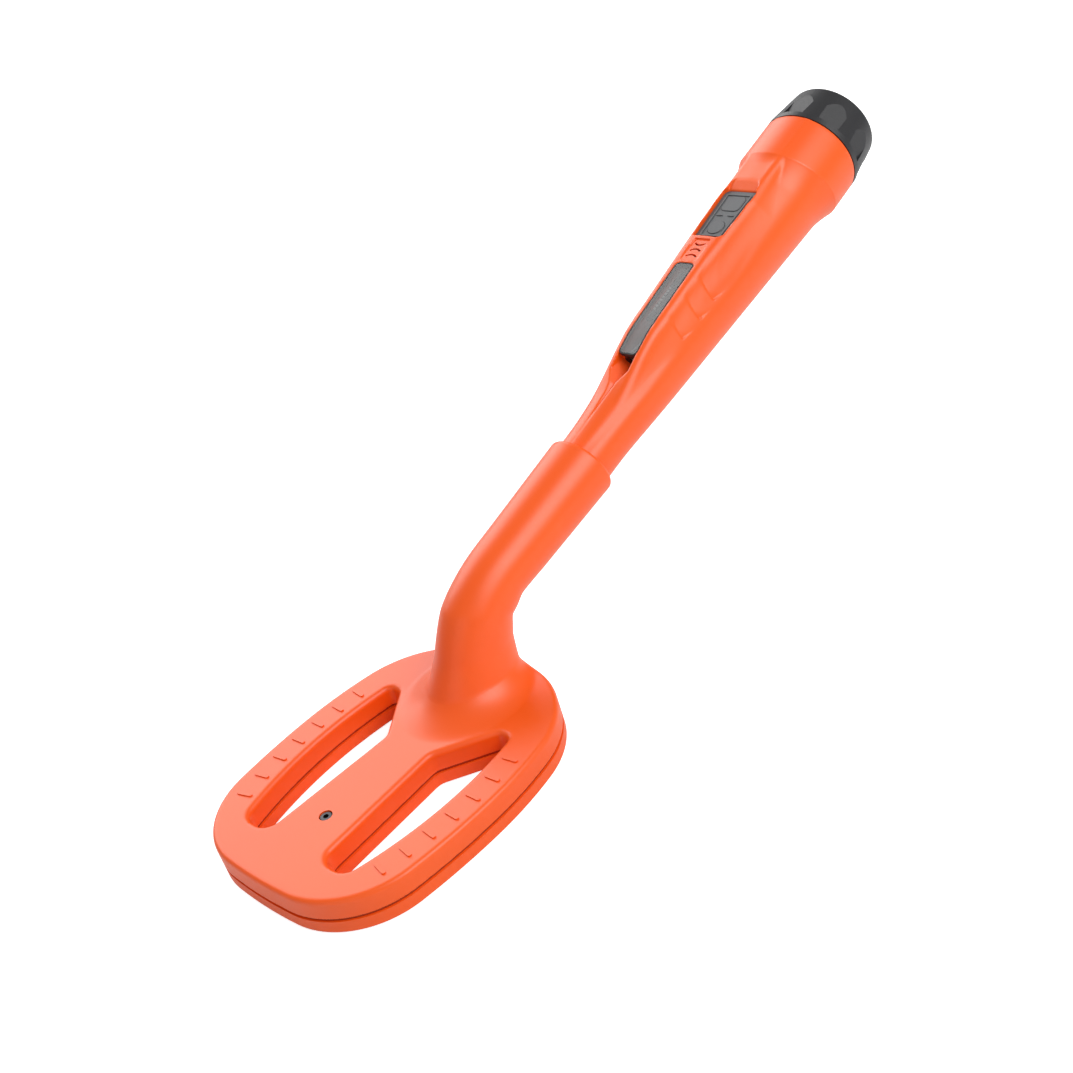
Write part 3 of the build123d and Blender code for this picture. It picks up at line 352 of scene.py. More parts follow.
def skinOf(name, field, axes, place, material):
    # closed skin on the zero of a field: one point in each grid cell that the surface crosses
    block = 4
    axes = [np.asarray(a, np.float64) for a in axes]
    counts = [(len(a) - 1) // block * block + 1 for a in axes]
    axes = [a[:n] for a, n in zip(axes, counts)]
    rough = field(*np.meshgrid(*[a[::block] for a in axes], indexing="ij"))
    reach = 1.9 * block * max(float(np.diff(a).max()) for a in axes)
    near = np.abs(rough) < reach
    blocks = np.zeros([n - 1 for n in near.shape], bool)
    for i in (0, 1):
        for j in (0, 1):
            for k in (0, 1):
                blocks |= near[i:near.shape[0] - 1 + i, j:near.shape[1] - 1 + j,
                               k:near.shape[2] - 1 + k]
    values = rough
    active = np.zeros(near.shape, bool)
    active[:-1, :-1, :-1] = blocks
    for side in range(3):
        values = np.repeat(values, block, axis=side)
        active = np.repeat(active, block, axis=side)
    values = np.ascontiguousarray(values[:counts[0], :counts[1], :counts[2]])
    active = active[:counts[0], :counts[1], :counts[2]]
    for side in range(3):
        grown = np.zeros_like(active)
        part = [slice(None)] * 3
        back = [slice(None)] * 3
        part[side], back[side] = slice(1, None), slice(None, -1)
        grown[tuple(part)] = active[tuple(back)]
        active = active | grown
    where = np.nonzero(active)
    values[where] = field(*[a[w] for a, w in zip(axes, where)])
    inside = values < 0
    total = np.zeros([n - 1 for n in counts], np.uint8)
    shifts = [(i, j, k) for i in (0, 1) for j in (0, 1) for k in (0, 1)]
    for i, j, k in shifts:
        total += inside[i:counts[0] - 1 + i, j:counts[1] - 1 + j, k:counts[2] - 1 + k]
    cells = np.argwhere((total > 0) & (total < 8))
    ids = np.full(total.shape, -1, np.int32)
    ids[tuple(cells.T)] = np.arange(len(cells))
    corner = {s: values[cells[:, 0] + s[0], cells[:, 1] + s[1], cells[:, 2] + s[2]]
              for s in shifts}
    total3, hits = np.zeros((len(cells), 3)), np.zeros(len(cells))
    for s in shifts:
        for side in range(3):
            if s[side]:
                continue
            e = list(s)
            e[side] = 1
            a, b = corner[s], corner[tuple(e)]
            crossed = (a < 0) != (b < 0)
            share = np.where(crossed, a / np.where(crossed, a - b, 1), 0)
            spot = np.tile(np.array(s, float), (len(cells), 1))
            spot[:, side] = share
            total3 += spot * crossed[:, None]
            hits += crossed
    local = total3 / hits[:, None]
    points = np.empty_like(local)
    for side in range(3):
        low = axes[side][cells[:, side]]
        points[:, side] = low + local[:, side] * (axes[side][cells[:, side] + 1] - low)
    limit = 0.6 * min(float(np.diff(a).min()) for a in axes)
    for turn in range(3):
        gradient = np.empty_like(points)
        for side in range(3):
            step = np.zeros(3)
            step[side] = 0.04
            gradient[:, side] = (field(*(points + step).T) - field(*(points - step).T)) / 0.08
        value = field(*points.T)
        size = np.maximum((gradient ** 2).sum(1), 0.25)
        move = -(value / size)[:, None] * gradient
        length = np.linalg.norm(move, axis=1, keepdims=True)
        points += move * np.minimum(1, limit / np.maximum(length, 1e-9))
    faces = []
    for side in range(3):
        a, b = (side + 1) % 3, (side + 2) % 3
        low = [slice(None)] * 3
        high = [slice(None)] * 3
        low[side], high[side] = slice(None, -1), slice(1, None)
        crossing = np.argwhere(inside[tuple(low)] != inside[tuple(high)])
        keep = ((crossing[:, a] > 0) & (crossing[:, b] > 0)
                & (crossing[:, a] < counts[a] - 1) & (crossing[:, b] < counts[b] - 1))
        crossing = crossing[keep]
        ea, eb = np.eye(3, dtype=int)[a], np.eye(3, dtype=int)[b]
        quad = np.stack([ids[tuple((crossing - ea - eb).T)], ids[tuple((crossing - eb).T)],
                         ids[tuple(crossing.T)], ids[tuple((crossing - ea).T)]], axis=1)
        out = ~inside[tuple(crossing.T)]
        quad[out] = quad[out][:, ::-1]
        faces.append(quad)
    faces = np.concatenate(faces)
    piece = makePiece(name, points, faces.tolist(), place, material)
    piece.data.shade_smooth()
    return piece


housing = {
    "start": 97.1, "end": 290.8, "step": 0.48,
    "bodyLine": ((90, 11.9), (118, 11.9), (150, 14.1), (258, 19.7), (295, 21.5)),
    "spineTop": ((112, 6.5), (134, 12.2), (152, 17.0), (162, 19.0), (206, 20.9), (266, 21.4),
                 (292, 21.5)),
    "spineHalf": ((134, 8.0), (266, 10.2)),
    "spineRound": 3.4,
    "blend": ((130, 0.8), (150, 3.0), (170, 6.0), (240, 6.0), (262, 0.8)),
    "collar": 23.0, "creaseAt": 270.9, "creaseTilt": 12.0, "flare": 13.0,
    "marks": ((192.4, 59.5), (181.3, 60.0), (169.3, 57.6)),
    "markAcross": 7.8, "markAlong": 7.2, "markDepth": 0.85, "markLean": (0.12, 0.18),
    "troughHalf": 4.6, "troughFloor": ((138, 11.9), (152, 7.6)),
}
keypad = {"at": 231.05, "halfLength": 15.05, "half": ((216.3, 7.4), (245.8, 8.6)), "gap": 0.3,
          "floor": 16.9, "corner": 2.7, "scoopAt": 243.0, "scoopFloor": 18.9,
          "scoopSlope": 0.46, "keys": (223.6, 238.2)}
pane = {"at": 175.5, "half": 4.9, "halfLength": 24.8, "corner": 2.3, "sink": 1.85,
        "wellHalf": 3.4, "wellHalfLength": 23.3, "wellDepth": 9.0,
        "lampHeight": 11.5, "lampRadius": 4.0}
sound = {"at": 208.0, "pitch": 3.4, "radius": 3.6, "width": 0.9, "sweep": 96.0,
         "cutLow": 17.0, "cutHigh": 23.0, "panelFloor": 20.6, "chamberRadius": 5.5}


def housingField(x, s, u):
    rho = np.hypot(x, u)
    side = np.abs(x)
    turn = np.degrees(np.arctan2(side, u))
    body = softLine(s, housing["bodyLine"], 7)
    # soft flute lines on the flanks: one from the sleeve to the window, one beside the keypad
    lineTurn = np.interp(s, (105, 127, 142, 158), (38, 48, 54, 52))
    fade = np.interp(s, (100, 120, 150, 172), (1, 1, 0.8, 0))
    body = body - 0.24 * fade * np.exp(-((turn - lineTurn) / 9) ** 2)
    upperTurn = np.interp(s, (187, 206, 223), (53, 63, 59))
    fade = np.interp(s, (184, 196, 216, 230), (0, 1, 1, 0))
    body = body - 0.16 * fade * np.exp(-((turn - upperTurn) / 8) ** 2)
    # flare below the slanted crease, then the collar
    crease = housing["creaseAt"] - u * math.tan(math.radians(housing["creaseTilt"]))
    rise = np.clip(1 - (crease - s) / housing["flare"], 0, 1) ** 1.9
    edge = np.clip((s - crease) / 0.6, 0, 1) * 0.3
    flared = body + (housing["collar"] - 0.3 - body) * rise
    shape = rho - np.where(s > crease, housing["collar"] - 0.3 + edge, flared)
    # grip marks: shallow wedges, deepest at the corner of the two arms
    for at, angle in housing["marks"]:
        p = s - at
        q = np.radians(angle - turn) * body
        armA = p - housing["markLean"][0] * q
        armB = q + housing["markLean"][1] * p
        span = 1 - armA / housing["markAlong"] - armB / housing["markAcross"]
        depth = housing["markDepth"] * np.where(span > 0, np.abs(span) ** 1.5, span)
        wedge = np.maximum.reduce([-armA, -armB, -(shape + depth)])
        shape = filletCut(shape, -wedge, 0.12)
    # spine with the keypad and the window
    top = softLine(s, housing["spineTop"], 3)
    half = np.interp(s, *zip(*housing["spineHalf"]))
    qa, qb = side - (half - housing["spineRound"]), u - (top - housing["spineRound"])
    spine = (np.hypot(np.maximum(qa, 0), np.maximum(qb, 0))
             + np.minimum(np.maximum(qa, qb), 0) - housing["spineRound"])
    spine = np.maximum(spine, 2.0 - u)
    shape = filletJoin(shape, spine, np.interp(s, *zip(*housing["blend"])))
    # keypad recess and its scooped end
    padHalf = np.interp(s, *zip(*keypad["half"])) + keypad["gap"]
    recess = np.maximum(softBox(side, s - keypad["at"], padHalf, keypad["halfLength"],
                                keypad["corner"]), keypad["floor"] - u)
    shape = filletCut(shape, -recess, 0.35)
    scoop = np.maximum(softBox(side, s - keypad["scoopAt"], 7.6, 9.0, 5.0),
                       keypad["scoopFloor"] + (s - 245.8) * keypad["scoopSlope"] - u)
    shape = filletCut(shape, -np.where(s > 238, scoop, 5.0), 0.7)
    # window recess and the well under it
    recess = np.maximum(softBox(side, s - pane["at"], pane["half"], pane["halfLength"],
                                pane["corner"]), top - pane["sink"] - u)
    well = np.maximum(softBox(side, s - pane["at"], pane["wellHalf"], pane["wellHalfLength"],
                              0.8), top - pane["wellDepth"] - u)
    bore = np.maximum.reduce([np.hypot(x, u - pane["lampHeight"]) - pane["lampRadius"],
                              152.0 - s, s - 163.1])
    shape = filletCut(shape, -recess, 0.3)
    shape = np.maximum(shape, -np.minimum(well, bore))
    # light trough: a V that opens out onto the shaft
    floor = np.interp(s, *zip(*housing["troughFloor"]))
    trough = np.maximum.reduce([(side - (u - floor)) * 0.7071, side - housing["troughHalf"],
                                s - 152.0])
    shape = filletCut(shape, -trough, 0.4)
    # sound panel
    panel = np.maximum(softBox(side, s - sound["at"], 4.2, 6.4, 0.9),
                       sound["panelFloor"] - u)
    shape = filletCut(shape, -panel, 0.12)
    return np.maximum(filletCut(shape, s - housing["end"], 0.5), housing["start"] - s)


fine = housing["step"]
stations = np.concatenate([np.arange(95.3, 134, 1.1), np.arange(134, 256, fine),
                           np.arange(256, 266, 0.7), np.arange(266, 277.5, 0.45),
                           np.arange(277.5, 293, 1.0), [293.5, 294.5, 295.5, 296.5, 297.5]])
across = np.arange(-24.96, 25.5, fine)
rise = np.arange(-24.48, 25.0, fine)
housingSkin = skinOf("housingSkin", housingField, (across, stations, rise), handlePlace, orangeAbs)

spigot = turnedSolid("spigot", [
    (66.0, 0), (66.0, 9.5), (66.3, 9.8), (73.0, 9.8), (73.0, 7.9), (75.0, 7.9), (75.0, 9.8),
    (81.0, 9.8), (81.0, 7.9), (83.0, 7.9), (83.0, 9.8), (97.6, 9.8), (97.6, 0),
], handlePlace, orangeAbs)
carve(housingSkin, [spigot], "UNION")

bores = turnedSolid("bores", [
    (65.0, 0), (65.0, 4.0), (163.0, 4.0), (163.0, 12.4), (245.0, 12.4), (245.0, 17.0),
    (279.0, 17.0), (279.0, 20.0), (292.0, 20.0), (292.0, 0),
], handlePlace, orangeAbs)
keyChamber = prism("keyChamber", [(-5, 218.6), (5, 218.6), (5, 243.2), (-5, 243.2)], 6.0, 15.9,
                   handlePlace, orangeAbs)
stems = [prism("stem", roundedLoop(1.9, 1.9, 1.9, (0, at)), 14.0, 18.0, handlePlace, orangeAbs)
         for at in keypad["keys"]]
reach = sound["chamberRadius"]
soundChamber = prism("soundChamber", roundedLoop(reach, reach, reach, (0, sound["at"])), 6.0,
                     19.4, handlePlace, orangeAbs)
carve(housingSkin, [bores, keyChamber, *stems, soundChamber])
print("housing faces:", len(housingSkin.data.polygons))


def repeatTree():
    # one shape repeated by a shift and a turn about the piece's own origin
    tree = bpy.data.node_groups.new("repeatAlong", "GeometryNodeTree")
    face = tree.interface
    face.new_socket("Geometry", in_out="INPUT", socket_type="NodeSocketGeometry")
    ids = {}
    for key, kind in (("Count", "NodeSocketInt"), ("Shift", "NodeSocketVector"),
                      ("Turn", "NodeSocketVector"), ("Finish", "NodeSocketMaterial")):
        ids[key] = face.new_socket(key, in_out="INPUT", socket_type=kind).identifier
    face.new_socket("Geometry", in_out="OUTPUT", socket_type="NodeSocketGeometry")
    given = addNode(tree, "NodeGroupInput")
    line = addNode(tree, "GeometryNodeMeshLine", None, {"Count": (given, "Count"),
                                                        "Offset": (given, "Shift")})
    index = addNode(tree, "GeometryNodeInputIndex")
    turn = addNode(tree, "ShaderNodeVectorMath", {"operation": "SCALE"},
                   {"Vector": (given, "Turn"), "Scale": (index, "Index")})
    copies = addNode(tree, "GeometryNodeInstanceOnPoints", None,
                     {"Points": (line, "Mesh"), "Instance": (given, "Geometry"),
                      "Rotation": (turn, "Vector")})
    real = addNode(tree, "GeometryNodeRealizeInstances", None, {"Geometry": (copies, "Instances")})
    painted = addNode(tree, "GeometryNodeSetMaterial", None,
                      {"Geometry": (real, "Geometry"), "Material": (given, "Finish")})
    addNode(tree, "NodeGroupOutput", None, {"Geometry": (painted, "Geometry")})
    return tree, ids


repeatAlong, repeatIds = repeatTree()


def repeatPiece(piece, place, count, shift, turn, finish):
    # piece is drawn in mm about its own origin; place sets the whole row down
    step = piece.modifiers.new("repeat", "NODES")
    step.node_group = repeatAlong
    step[repeatIds["Count"]] = count
    step[repeatIds["Shift"]] = [v * mm for v in shift]
    step[repeatIds["Turn"]] = turn
    step[repeatIds["Finish"]] = finish
    bakeModifiers(piece)
    piece.data.transform(Matrix.Scale(mm, 4) @ place @ Matrix.Scale(1 / mm, 4))
    return piece


def curvedSlot(radius, width, sweep, low, high, way):
    # kidney-shaped prism: an arc of the given radius that bows along s
    outer, inner = [], []
    for k in range(13):
        turn = math.radians(90 - sweep / 2 + sweep * k / 12)
        for loop, r in ((outer, radius + width / 2), (inner, radius - width / 2)):
            loop.append((r * math.cos(turn), way * (r * math.sin(turn) - radius)))
    return prism("soundSlot", outer + inner[::-1], low, high, rowPlace, orangeAbs)


slotCuts = []
for count, way, shift in ((2, 1, 0.5 - sound["pitch"]), (1, -1, sound["pitch"] - 0.5)):
    slot = curvedSlot(sound["radius"], sound["width"], sound["sweep"], sound["cutLow"],
                      sound["cutHigh"], way)
    slotCuts.append(repeatPiece(
        slot, handlePlace @ Matrix.Translation((0, sound["at"] + shift, 0)), count,
        (0, sound["pitch"] if count > 1 else 0, 0), (0, 0, 0), orangeAbs))
carve(housingSkin, slotCuts)
smoothBelow(housingSkin, 50)
takeOn(housingSkin, "detector", "orange_shell", "handle_housing")
print("housing done:", len(housingSkin.data.polygons))


coil = {
    "halfWidth": 52.5, "top": 15.4, "seam": 6.9, "rimRound": 1.9, "slotRound": 2.2,
    "front": (68.3, 226.0, 36.0, 280.0), "rear": (66.4, 165.0, 42.5, 164.0),
    "slotOuter": 36.9, "slotArc": 165.0, "slotFront": -49.8, "slotRear": 30.4,
    "wall": 2.2, "roof": 2.0, "screwY": -33.5, "step": 0.56, "neckJoin": 5.0,
    # neck rings: y, z, tilt, half width across, half width along
    "neck": ((39.0, 12.4, 0.0, 26.5, 26.0), (42.4, 16.6, 0.0, 21.0, 23.8),
             (47.4, 22.4, 0.0, 15.6, 20.6), (51.8, 31.4, 5.0, 13.4, 17.6),
             (58.6, 43.4, 30.0, 12.9, 14.9), (72.3, 51.5, 72.8, 12.8, 12.8)),
    "mouth": 105.0, "mouthRound": 1.6, "sleeveBase": 45.0, "sleeveBaseRadius": 12.8,
    "sleeveGrowth": 1.6, "sleeveLift": 2.4, "neckBend": 0.25,
}


def arcPoints(centre, radius, start, stop, steps):
    turns = np.radians(np.linspace(start, stop, steps))
    return [(centre[0] + radius * math.cos(t), centre[1] + radius * math.sin(t)) for t in turns]


def coilQuarter(way, sizes, inset):
    reach, endRadius, cornerRadius, sideRadius = sizes
    endY, sideX = reach - endRadius, coil["halfWidth"] - sideRadius
    span = math.hypot(sideX, endY)
    a, b = endRadius - cornerRadius, sideRadius - cornerRadius
    alongSpan = (a * a - b * b + span * span) / (2 * span)
    offSpan = math.sqrt(a * a - alongSpan * alongSpan)
    ux, uy = sideX / span, -endY / span
    cornerX, cornerY = ux * alongSpan - uy * offSpan, endY + uy * alongSpan + ux * offSpan
    if cornerX < 0:
        cornerX, cornerY = ux * alongSpan + uy * offSpan, endY + uy * alongSpan - ux * offSpan
    endTurn = math.degrees(math.atan2(cornerY - endY, cornerX))
    sideTurn = math.degrees(math.atan2(cornerY, cornerX - sideX))
    return (arcPoints((sideX, 0), sideRadius - inset, 0, way * sideTurn, 20)
            + arcPoints((cornerX, way * cornerY), cornerRadius - inset, way * sideTurn,
                        way * endTurn, 30)[1:]
            + arcPoints((0, way * endY), endRadius - inset, way * endTurn, way * 90, 24)[1:])


def coilLoop(inset=0.0):
    rear, front = coilQuarter(1, coil["rear"], inset), coilQuarter(-1, coil["front"], inset)
    half = front[::-1] + rear[1:]
    return half + [(-x, y) for x, y in half[::-1][1:-1]]


def roundCorners(corners):
    loop = []
    for k, (x, y, radius) in enumerate(corners):
        if not radius:
            loop.append((x, y))
            continue
        before, here = Vector(corners[k - 1][:2]), Vector((x, y))
        after = Vector(corners[(k + 1) % len(corners)][:2])
        a, b = (before - here).normalized(), (after - here).normalized()
        half = a.angle(b) / 2
        reach = radius / math.tan(half)
        centre = here + (a + b).normalized() * (radius / math.sin(half))
        start, stop = here + a * reach - centre, here + b * reach - centre
        for share in np.linspace(0, 1, 10):
            spoke = start.lerp(stop, share).normalized() * radius
            loop.append(tuple(centre + spoke))
    return loop


def slotLoop():
    centreX = coil["slotOuter"] - coil["slotArc"]
    start = math.degrees(math.asin((coil["slotFront"] + 7.2) / coil["slotArc"]))
    stop = math.degrees(math.asin((coil["slotRear"] - 4.6) / coil["slotArc"]))
    wall = arcPoints((centreX, 0), coil["slotArc"], start, stop, 30)
    frontX = centreX + math.sqrt(coil["slotArc"] ** 2 - coil["slotFront"] ** 2)
    rearX = centreX + math.sqrt(coil["slotArc"] ** 2 - coil["slotRear"] ** 2)
    corners = [(frontX + 0.15, coil["slotFront"], 6.2)] + [(x, y, 0) for x, y in wall]
    corners += [(rearX + 0.1, coil["slotRear"], 3.2), (28.6, coil["slotRear"], 3.2),
                (12.8, 8.6, 6.0), (15.9, coil["slotFront"], 6.2)]
    return roundCorners(corners)


def growLoop(loop, amount):
    # moves each point of a counter-clockwise loop outwards
    points = np.array(loop)
    ahead = np.roll(points, -1, 0) - np.roll(points, 1, 0)
    normal = np.stack([ahead[:, 1], -ahead[:, 0]], 1)
    normal /= np.linalg.norm(normal, axis=1, keepdims=True)
    return (points + normal * amount).tolist()


class FlatMap:
    # values on an even grid, read between the points
    def __init__(self, lows, step, values):
        self.lows, self.step, self.values = lows, step, values

    def read(self, a, b):
        fa = np.clip((a - self.lows[0]) / self.step, 0, self.values.shape[0] - 1.001)
        fb = np.clip((b - self.lows[1]) / self.step, 0, self.values.shape[1] - 1.001)
        i, j = fa.astype(int), fb.astype(int)
        p, q = fa - i, fb - j
        v = self.values
        return ((v[i, j] * (1 - p) + v[i + 1, j] * p) * (1 - q)
                + (v[i, j + 1] * (1 - p) + v[i + 1, j + 1] * p) * q)


def loopMap(loop, lows, highs, step):
    # signed distance to a closed outline, less than nought inside
    xs, ys = np.arange(lows[0], highs[0], step), np.arange(lows[1], highs[1], step)
    px, py = np.meshgrid(xs, ys, indexing="ij")
    best = np.full(px.shape, 1e9)
    inside = np.zeros(px.shape, bool)
    for (ax, ay), (bx, by) in zip(loop, loop[1:] + loop[:1]):
        dx, dy = bx - ax, by - ay
        share = np.clip(((px - ax) * dx + (py - ay) * dy) / max(dx * dx + dy * dy, 1e-12), 0, 1)
        best = np.minimum(best, (px - ax - share * dx) ** 2 + (py - ay - share * dy) ** 2)
        if ay != by:
            inside ^= ((ay > py) != (by > py)) & (px < dx * (py - ay) / dy + ax)
    distance = np.sqrt(best)
    return FlatMap(lows, step, np.where(inside, -distance, distance))


outerLoop, innerLoop = coilLoop(), slotLoop()
outerMap = loopMap(outerLoop, (-2.0, -74.0), (60.0, 80.0), 0.4)
slotMap = loopMap(innerLoop, (-2.0, -74.0), (60.0, 80.0), 0.4)


def sleeveRing(s):
    # one ring of the straight sleeve at station s: its centre, tilt and two half widths
    length = coil["mouth"] - coil["sleeveBase"]
    lift = coil["sleeveLift"] * (coil["mouth"] - s) / length
    r = coil["sleeveBaseRadius"] + (s - coil["sleeveBase"]) / length * coil["sleeveGrowth"]
    return np.array([
        handle["startY"] + s * math.cos(handleTilt) - lift * math.sin(handleTilt),
        handle["startZ"] + s * math.sin(handleTilt) + lift * math.cos(handleTilt),
        90 - handle["tilt"], r, r])


def neckRings():
    # neckBend sets how softly the line of centres turns at each ring
    rings = [np.array(r, float) for r in coil["neck"]]
    rings += [sleeveRing(s) for s in (60, 75, 90, 105, 115)]
    bend = coil["neckBend"]
    out = []
    for k in range(len(rings) - 1):
        a, b = rings[max(k - 1, 0)], rings[k]
        c, d = rings[k + 1], rings[min(k + 2, len(rings) - 1)]
        for t in np.linspace(0, 1, 24, endpoint=False):
            out.append(b + bend * (c - a) * t
                       + (2 * bend * a + (bend - 3) * b + (3 - 2 * bend) * c - bend * d) * t ** 2
                       + ((2 - bend) * b + (bend - 2) * c + bend * (d - a)) * t ** 3)
    return np.array(out + [rings[-1]])


def neckMaps():
    rings = neckRings()
    step, lows = 1.0, (0.0, 4.0)
    ys, zs = np.arange(0.0, 146.0, step), np.arange(4.0, 96.0, step)
    py, pz = [g.ravel()[:, None] for g in np.meshgrid(ys, zs, indexing="ij")]
    tilt = np.radians(rings[:, 2])
    dy, dz = py - rings[:, 0], pz - rings[:, 1]
    ahead = dy * np.sin(tilt) + dz * np.cos(tilt)
    aside = dy * np.cos(tilt) - dz * np.sin(tilt)
    crossing = (ahead[:, :-1] >= 0) & (ahead[:, 1:] < 0)
    score = np.where(crossing, np.abs(aside[:, :-1]) / rings[:-1, 4], 1e6)
    pick = score.argmin(1)
    none = ~crossing.any(1)
    share = np.take_along_axis(ahead, pick[:, None], 1)[:, 0]
    after = np.take_along_axis(ahead, pick[:, None] + 1, 1)[:, 0]
    share = np.where(none, 0, share / np.where(none, 1, share - after))
    early = none & (ahead[:, 0] < 0)
    pick = np.where(none, np.where(early, 0, len(rings) - 2), pick)
    share = np.where(none & ~early, 1, share)
    found = []
    for row in (aside, np.broadcast_to(rings[:, 3], aside.shape),
                np.broadcast_to(rings[:, 4], aside.shape)):
        a = np.take_along_axis(row, pick[:, None], 1)[:, 0]
        b = np.take_along_axis(row, pick[:, None] + 1, 1)[:, 0]
        found.append(FlatMap(lows, step, (a + (b - a) * share).reshape(len(ys), len(zs))))
    return found


neckAside, neckAcross, neckDeep = neckMaps()


def topShellField(x, y, z):
    side = np.abs(x)
    outer = outerMap.read(side, y)
    slot = slotMap.read(side, y)
    slab = filletCut(outer, z - coil["top"], coil["rimRound"])
    v = neckAside.read(y, z)
    a, b = neckAcross.read(y, z), neckDeep.read(y, z)
    e = np.sqrt((x / a) ** 2 + (v / b) ** 2) + 1e-6
    neck = (e - 1) * e / (np.sqrt((x / a ** 2) ** 2 + (v / b ** 2) ** 2) + 1e-6)
    neck = np.maximum(neck, -8.0)
    at = ((y - handle["startY"]) * math.cos(handleTilt)
          + (z - handle["startZ"]) * math.sin(handleTilt))
    neck = filletCut(neck, at - coil["mouth"], coil["mouthRound"])
    shape = filletJoin(slab, neck, coil["neckJoin"])
    shape = filletCut(shape, -slot, coil["slotRound"])
    return filletCut(shape, coil["seam"] - z, 0.35)


step = coil["step"]
topShell = skinOf("coilTopSkin", topShellField,
                  (np.arange(-54.04, 55.5, step), np.arange(-69.7, 136.5, step),
                   np.arange(5.62, 84.0, step)), rowPlace, orangeAbs)
print("top shell faces:", len(topShell.data.polygons))

chamber = prism("chamber", coilLoop(coil["wall"]), 5.0, coil["top"] - coil["roof"], rowPlace,
                orangeAbs)
keep = [prism("slotWall", growLoop(innerLoop, coil["wall"]), 4.0, 16.0, rowPlace, orangeAbs),
        prism("slotWall", [(-x, y) for x, y in growLoop(innerLoop, coil["wall"])][::-1], 4.0,
              16.0, rowPlace, orangeAbs),
        prism("boss", roundedLoop(4.5, 4.5, 4.5, (0, coil["screwY"])), 4.0, 16.0, rowPlace,
              orangeAbs)]
carve(chamber, keep)
screwHole = prism("screwHole", roundedLoop(2.65, 2.65, 2.65, (0, coil["screwY"])), 13.0, 17.0,
                  rowPlace, orangeAbs)
shankHole = prism("shankHole", roundedLoop(1.6, 1.6, 1.6, (0, coil["screwY"])), 5.0, 14.0,
                  rowPlace, orangeAbs)
socket = turnedSolid("socket", [
    (65.9, 0), (65.9, 9.9), (97.0, 9.9), (97.0, 12.0), (107.0, 12.0), (107.0, 0)],
    handlePlace, orangeAbs)
ductRun = bpy.data.curves.new("duct", "CURVE")
ductRun.dimensions = "3D"
ductRun.bevel_depth = 3.2 * mm
ductRun.use_fill_caps = True
ductRun.resolution_u = 24
run = ductRun.splines.new("NURBS")
route = [(52, 8), (52, 22), (52, 35), (52, 42.7), (59, 44.9), (70, 48.3), (92, 55.1), (96, 56.3)]
run.points.add(len(route) - 1)
for point, (y, z) in zip(run.points, route):
    point.co = (0, y * mm, z * mm, 1)
run.order_u = 3
run.use_endpoint_u = True
ductCurve = bpy.data.objects.new("duct", ductRun)
bpy.context.scene.collection.objects.link(ductCurve)
duct = bpy.data.objects.new("ductCut", bpy.data.meshes.new_from_object(
    ductCurve.evaluated_get(bpy.context.evaluated_depsgraph_get())))
bpy.context.scene.collection.objects.link(duct)
bpy.data.objects.remove(ductCurve)
outward(duct)
carve(topShell, [chamber, screwHole, shankHole, socket, duct])
smoothBelow(topShell, 50)
takeOn(topShell, "detector", "orange_shell", "coil_top_shell")
print("top shell done:", len(topShell.data.polygons))


studio = {"floorHalf": 40, "floorGlow": 0.78, "skyLight": 0.34}
floorMesh = bpy.data.meshes.new("floor")
far = studio["floorHalf"]
floorMesh.from_pydata([(-far, -far, 0), (far, -far, 0), (far, far, 0), (-far, far, 0)], [],
                      [(0, 1, 2, 3)])
floor = bpy.data.objects.new("floor", floorMesh)
bpy.context.scene.collection.objects.link(floor)
paleFloor, floorTree, floorShader, floorPlace = startMaterial("pale_matt_floor", {
    "Base Color": (0.86, 0.86, 0.86, 1), "Roughness": 0.9, "Specular IOR Level": 0.1})
floorMesh.materials.append(paleFloor)
# a glow that only camera rays see: the floor looks white and lights nothing
floorShader.inputs["Emission Color"].default_value = (1, 1, 1, 1)
floorSeen = addNode(floorTree, "ShaderNodeLightPath")
floorLevel = addNode(floorTree, "ShaderNodeMath", {"operation": "MULTIPLY"},
                     {0: (floorSeen, "Is Camera Ray")})
floorLevel.inputs[1].default_value = studio["floorGlow"]
floorTree.links.new(floorLevel.outputs[0], floorShader.inputs["Emission Strength"])
floor.location.z = -0.0002

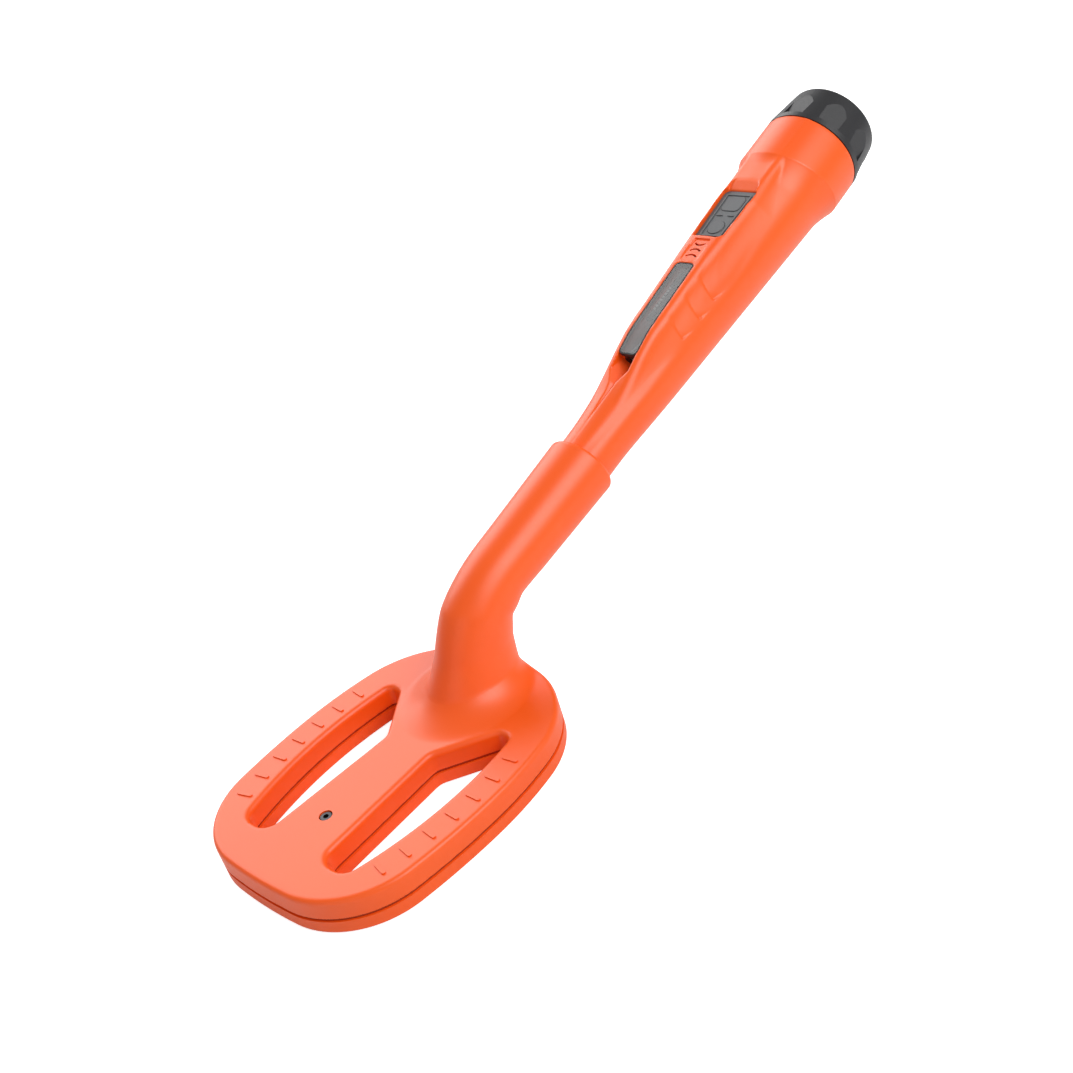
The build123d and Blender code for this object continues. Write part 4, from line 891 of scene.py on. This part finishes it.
lights = {
    # name: (place the panel hangs at, width, height, power)
    "leftPanel": ((-1.25, 0.45, 0.85), 1.6, 1.2, 18.0),
    "rightPanel": ((0.95, 0.35, 1.0), 0.9, 0.9, 13.0),
    "frontPanel": ((0.5, -1.3, 0.7), 1.2, 0.9, 1.8),
}
aim = Vector((0.0, 0.12, 0.06))
for name, (place, width, height, power) in lights.items():
    lamp = bpy.data.lights.new(name, "AREA")
    lamp.shape = "RECTANGLE"
    lamp.size, lamp.size_y, lamp.energy = width, height, power
    panel = bpy.data.objects.new(name, lamp)
    panel.location = place
    panel.rotation_euler = (aim - Vector(place)).to_track_quat("-Z", "Y").to_euler()
    bpy.context.scene.collection.objects.link(panel)

world = bpy.data.worlds.new("studio")
world.use_nodes = True
# camera rays see a white backdrop, while all other rays get the fainter skyLight
sky = world.node_tree.nodes["Background"]
sky.inputs["Color"].default_value = (1, 1, 1, 1)
seen = addNode(world.node_tree, "ShaderNodeLightPath")
skyLevel = addNode(world.node_tree, "ShaderNodeMapRange", None,
                   {"Value": (seen, "Is Camera Ray")})
skyLevel.inputs["To Min"].default_value = studio["skyLight"]
skyLevel.inputs["To Max"].default_value = 1.0
world.node_tree.links.new(skyLevel.outputs["Result"], sky.inputs["Strength"])
bpy.context.scene.world = world
bpy.context.scene.view_settings.view_transform = "Standard"

camera = {
    "place": (0.3978, -0.2170, 0.3574), "lens": 50.24,
    "right": (0.7109, 0.6568, -0.2516), "back": (0.6729, -0.5312, 0.5147),
}
lens = bpy.data.cameras.new("camera")
lens.lens, lens.sensor_width = camera["lens"], 36.0
lens.clip_start, lens.clip_end = 0.01, 50
view = bpy.data.objects.new("camera", lens)
back = Vector(camera["back"]).normalized()
right = (Vector(camera["right"]) - back * back.dot(Vector(camera["right"]))).normalized()
upward = back.cross(right)
view.matrix_world = Matrix.Translation(camera["place"]) @ Matrix(
    (right, upward, back)).transposed().to_4x4()
bpy.context.scene.collection.objects.link(view)
bpy.context.scene.camera = view

print("stage and camera set")
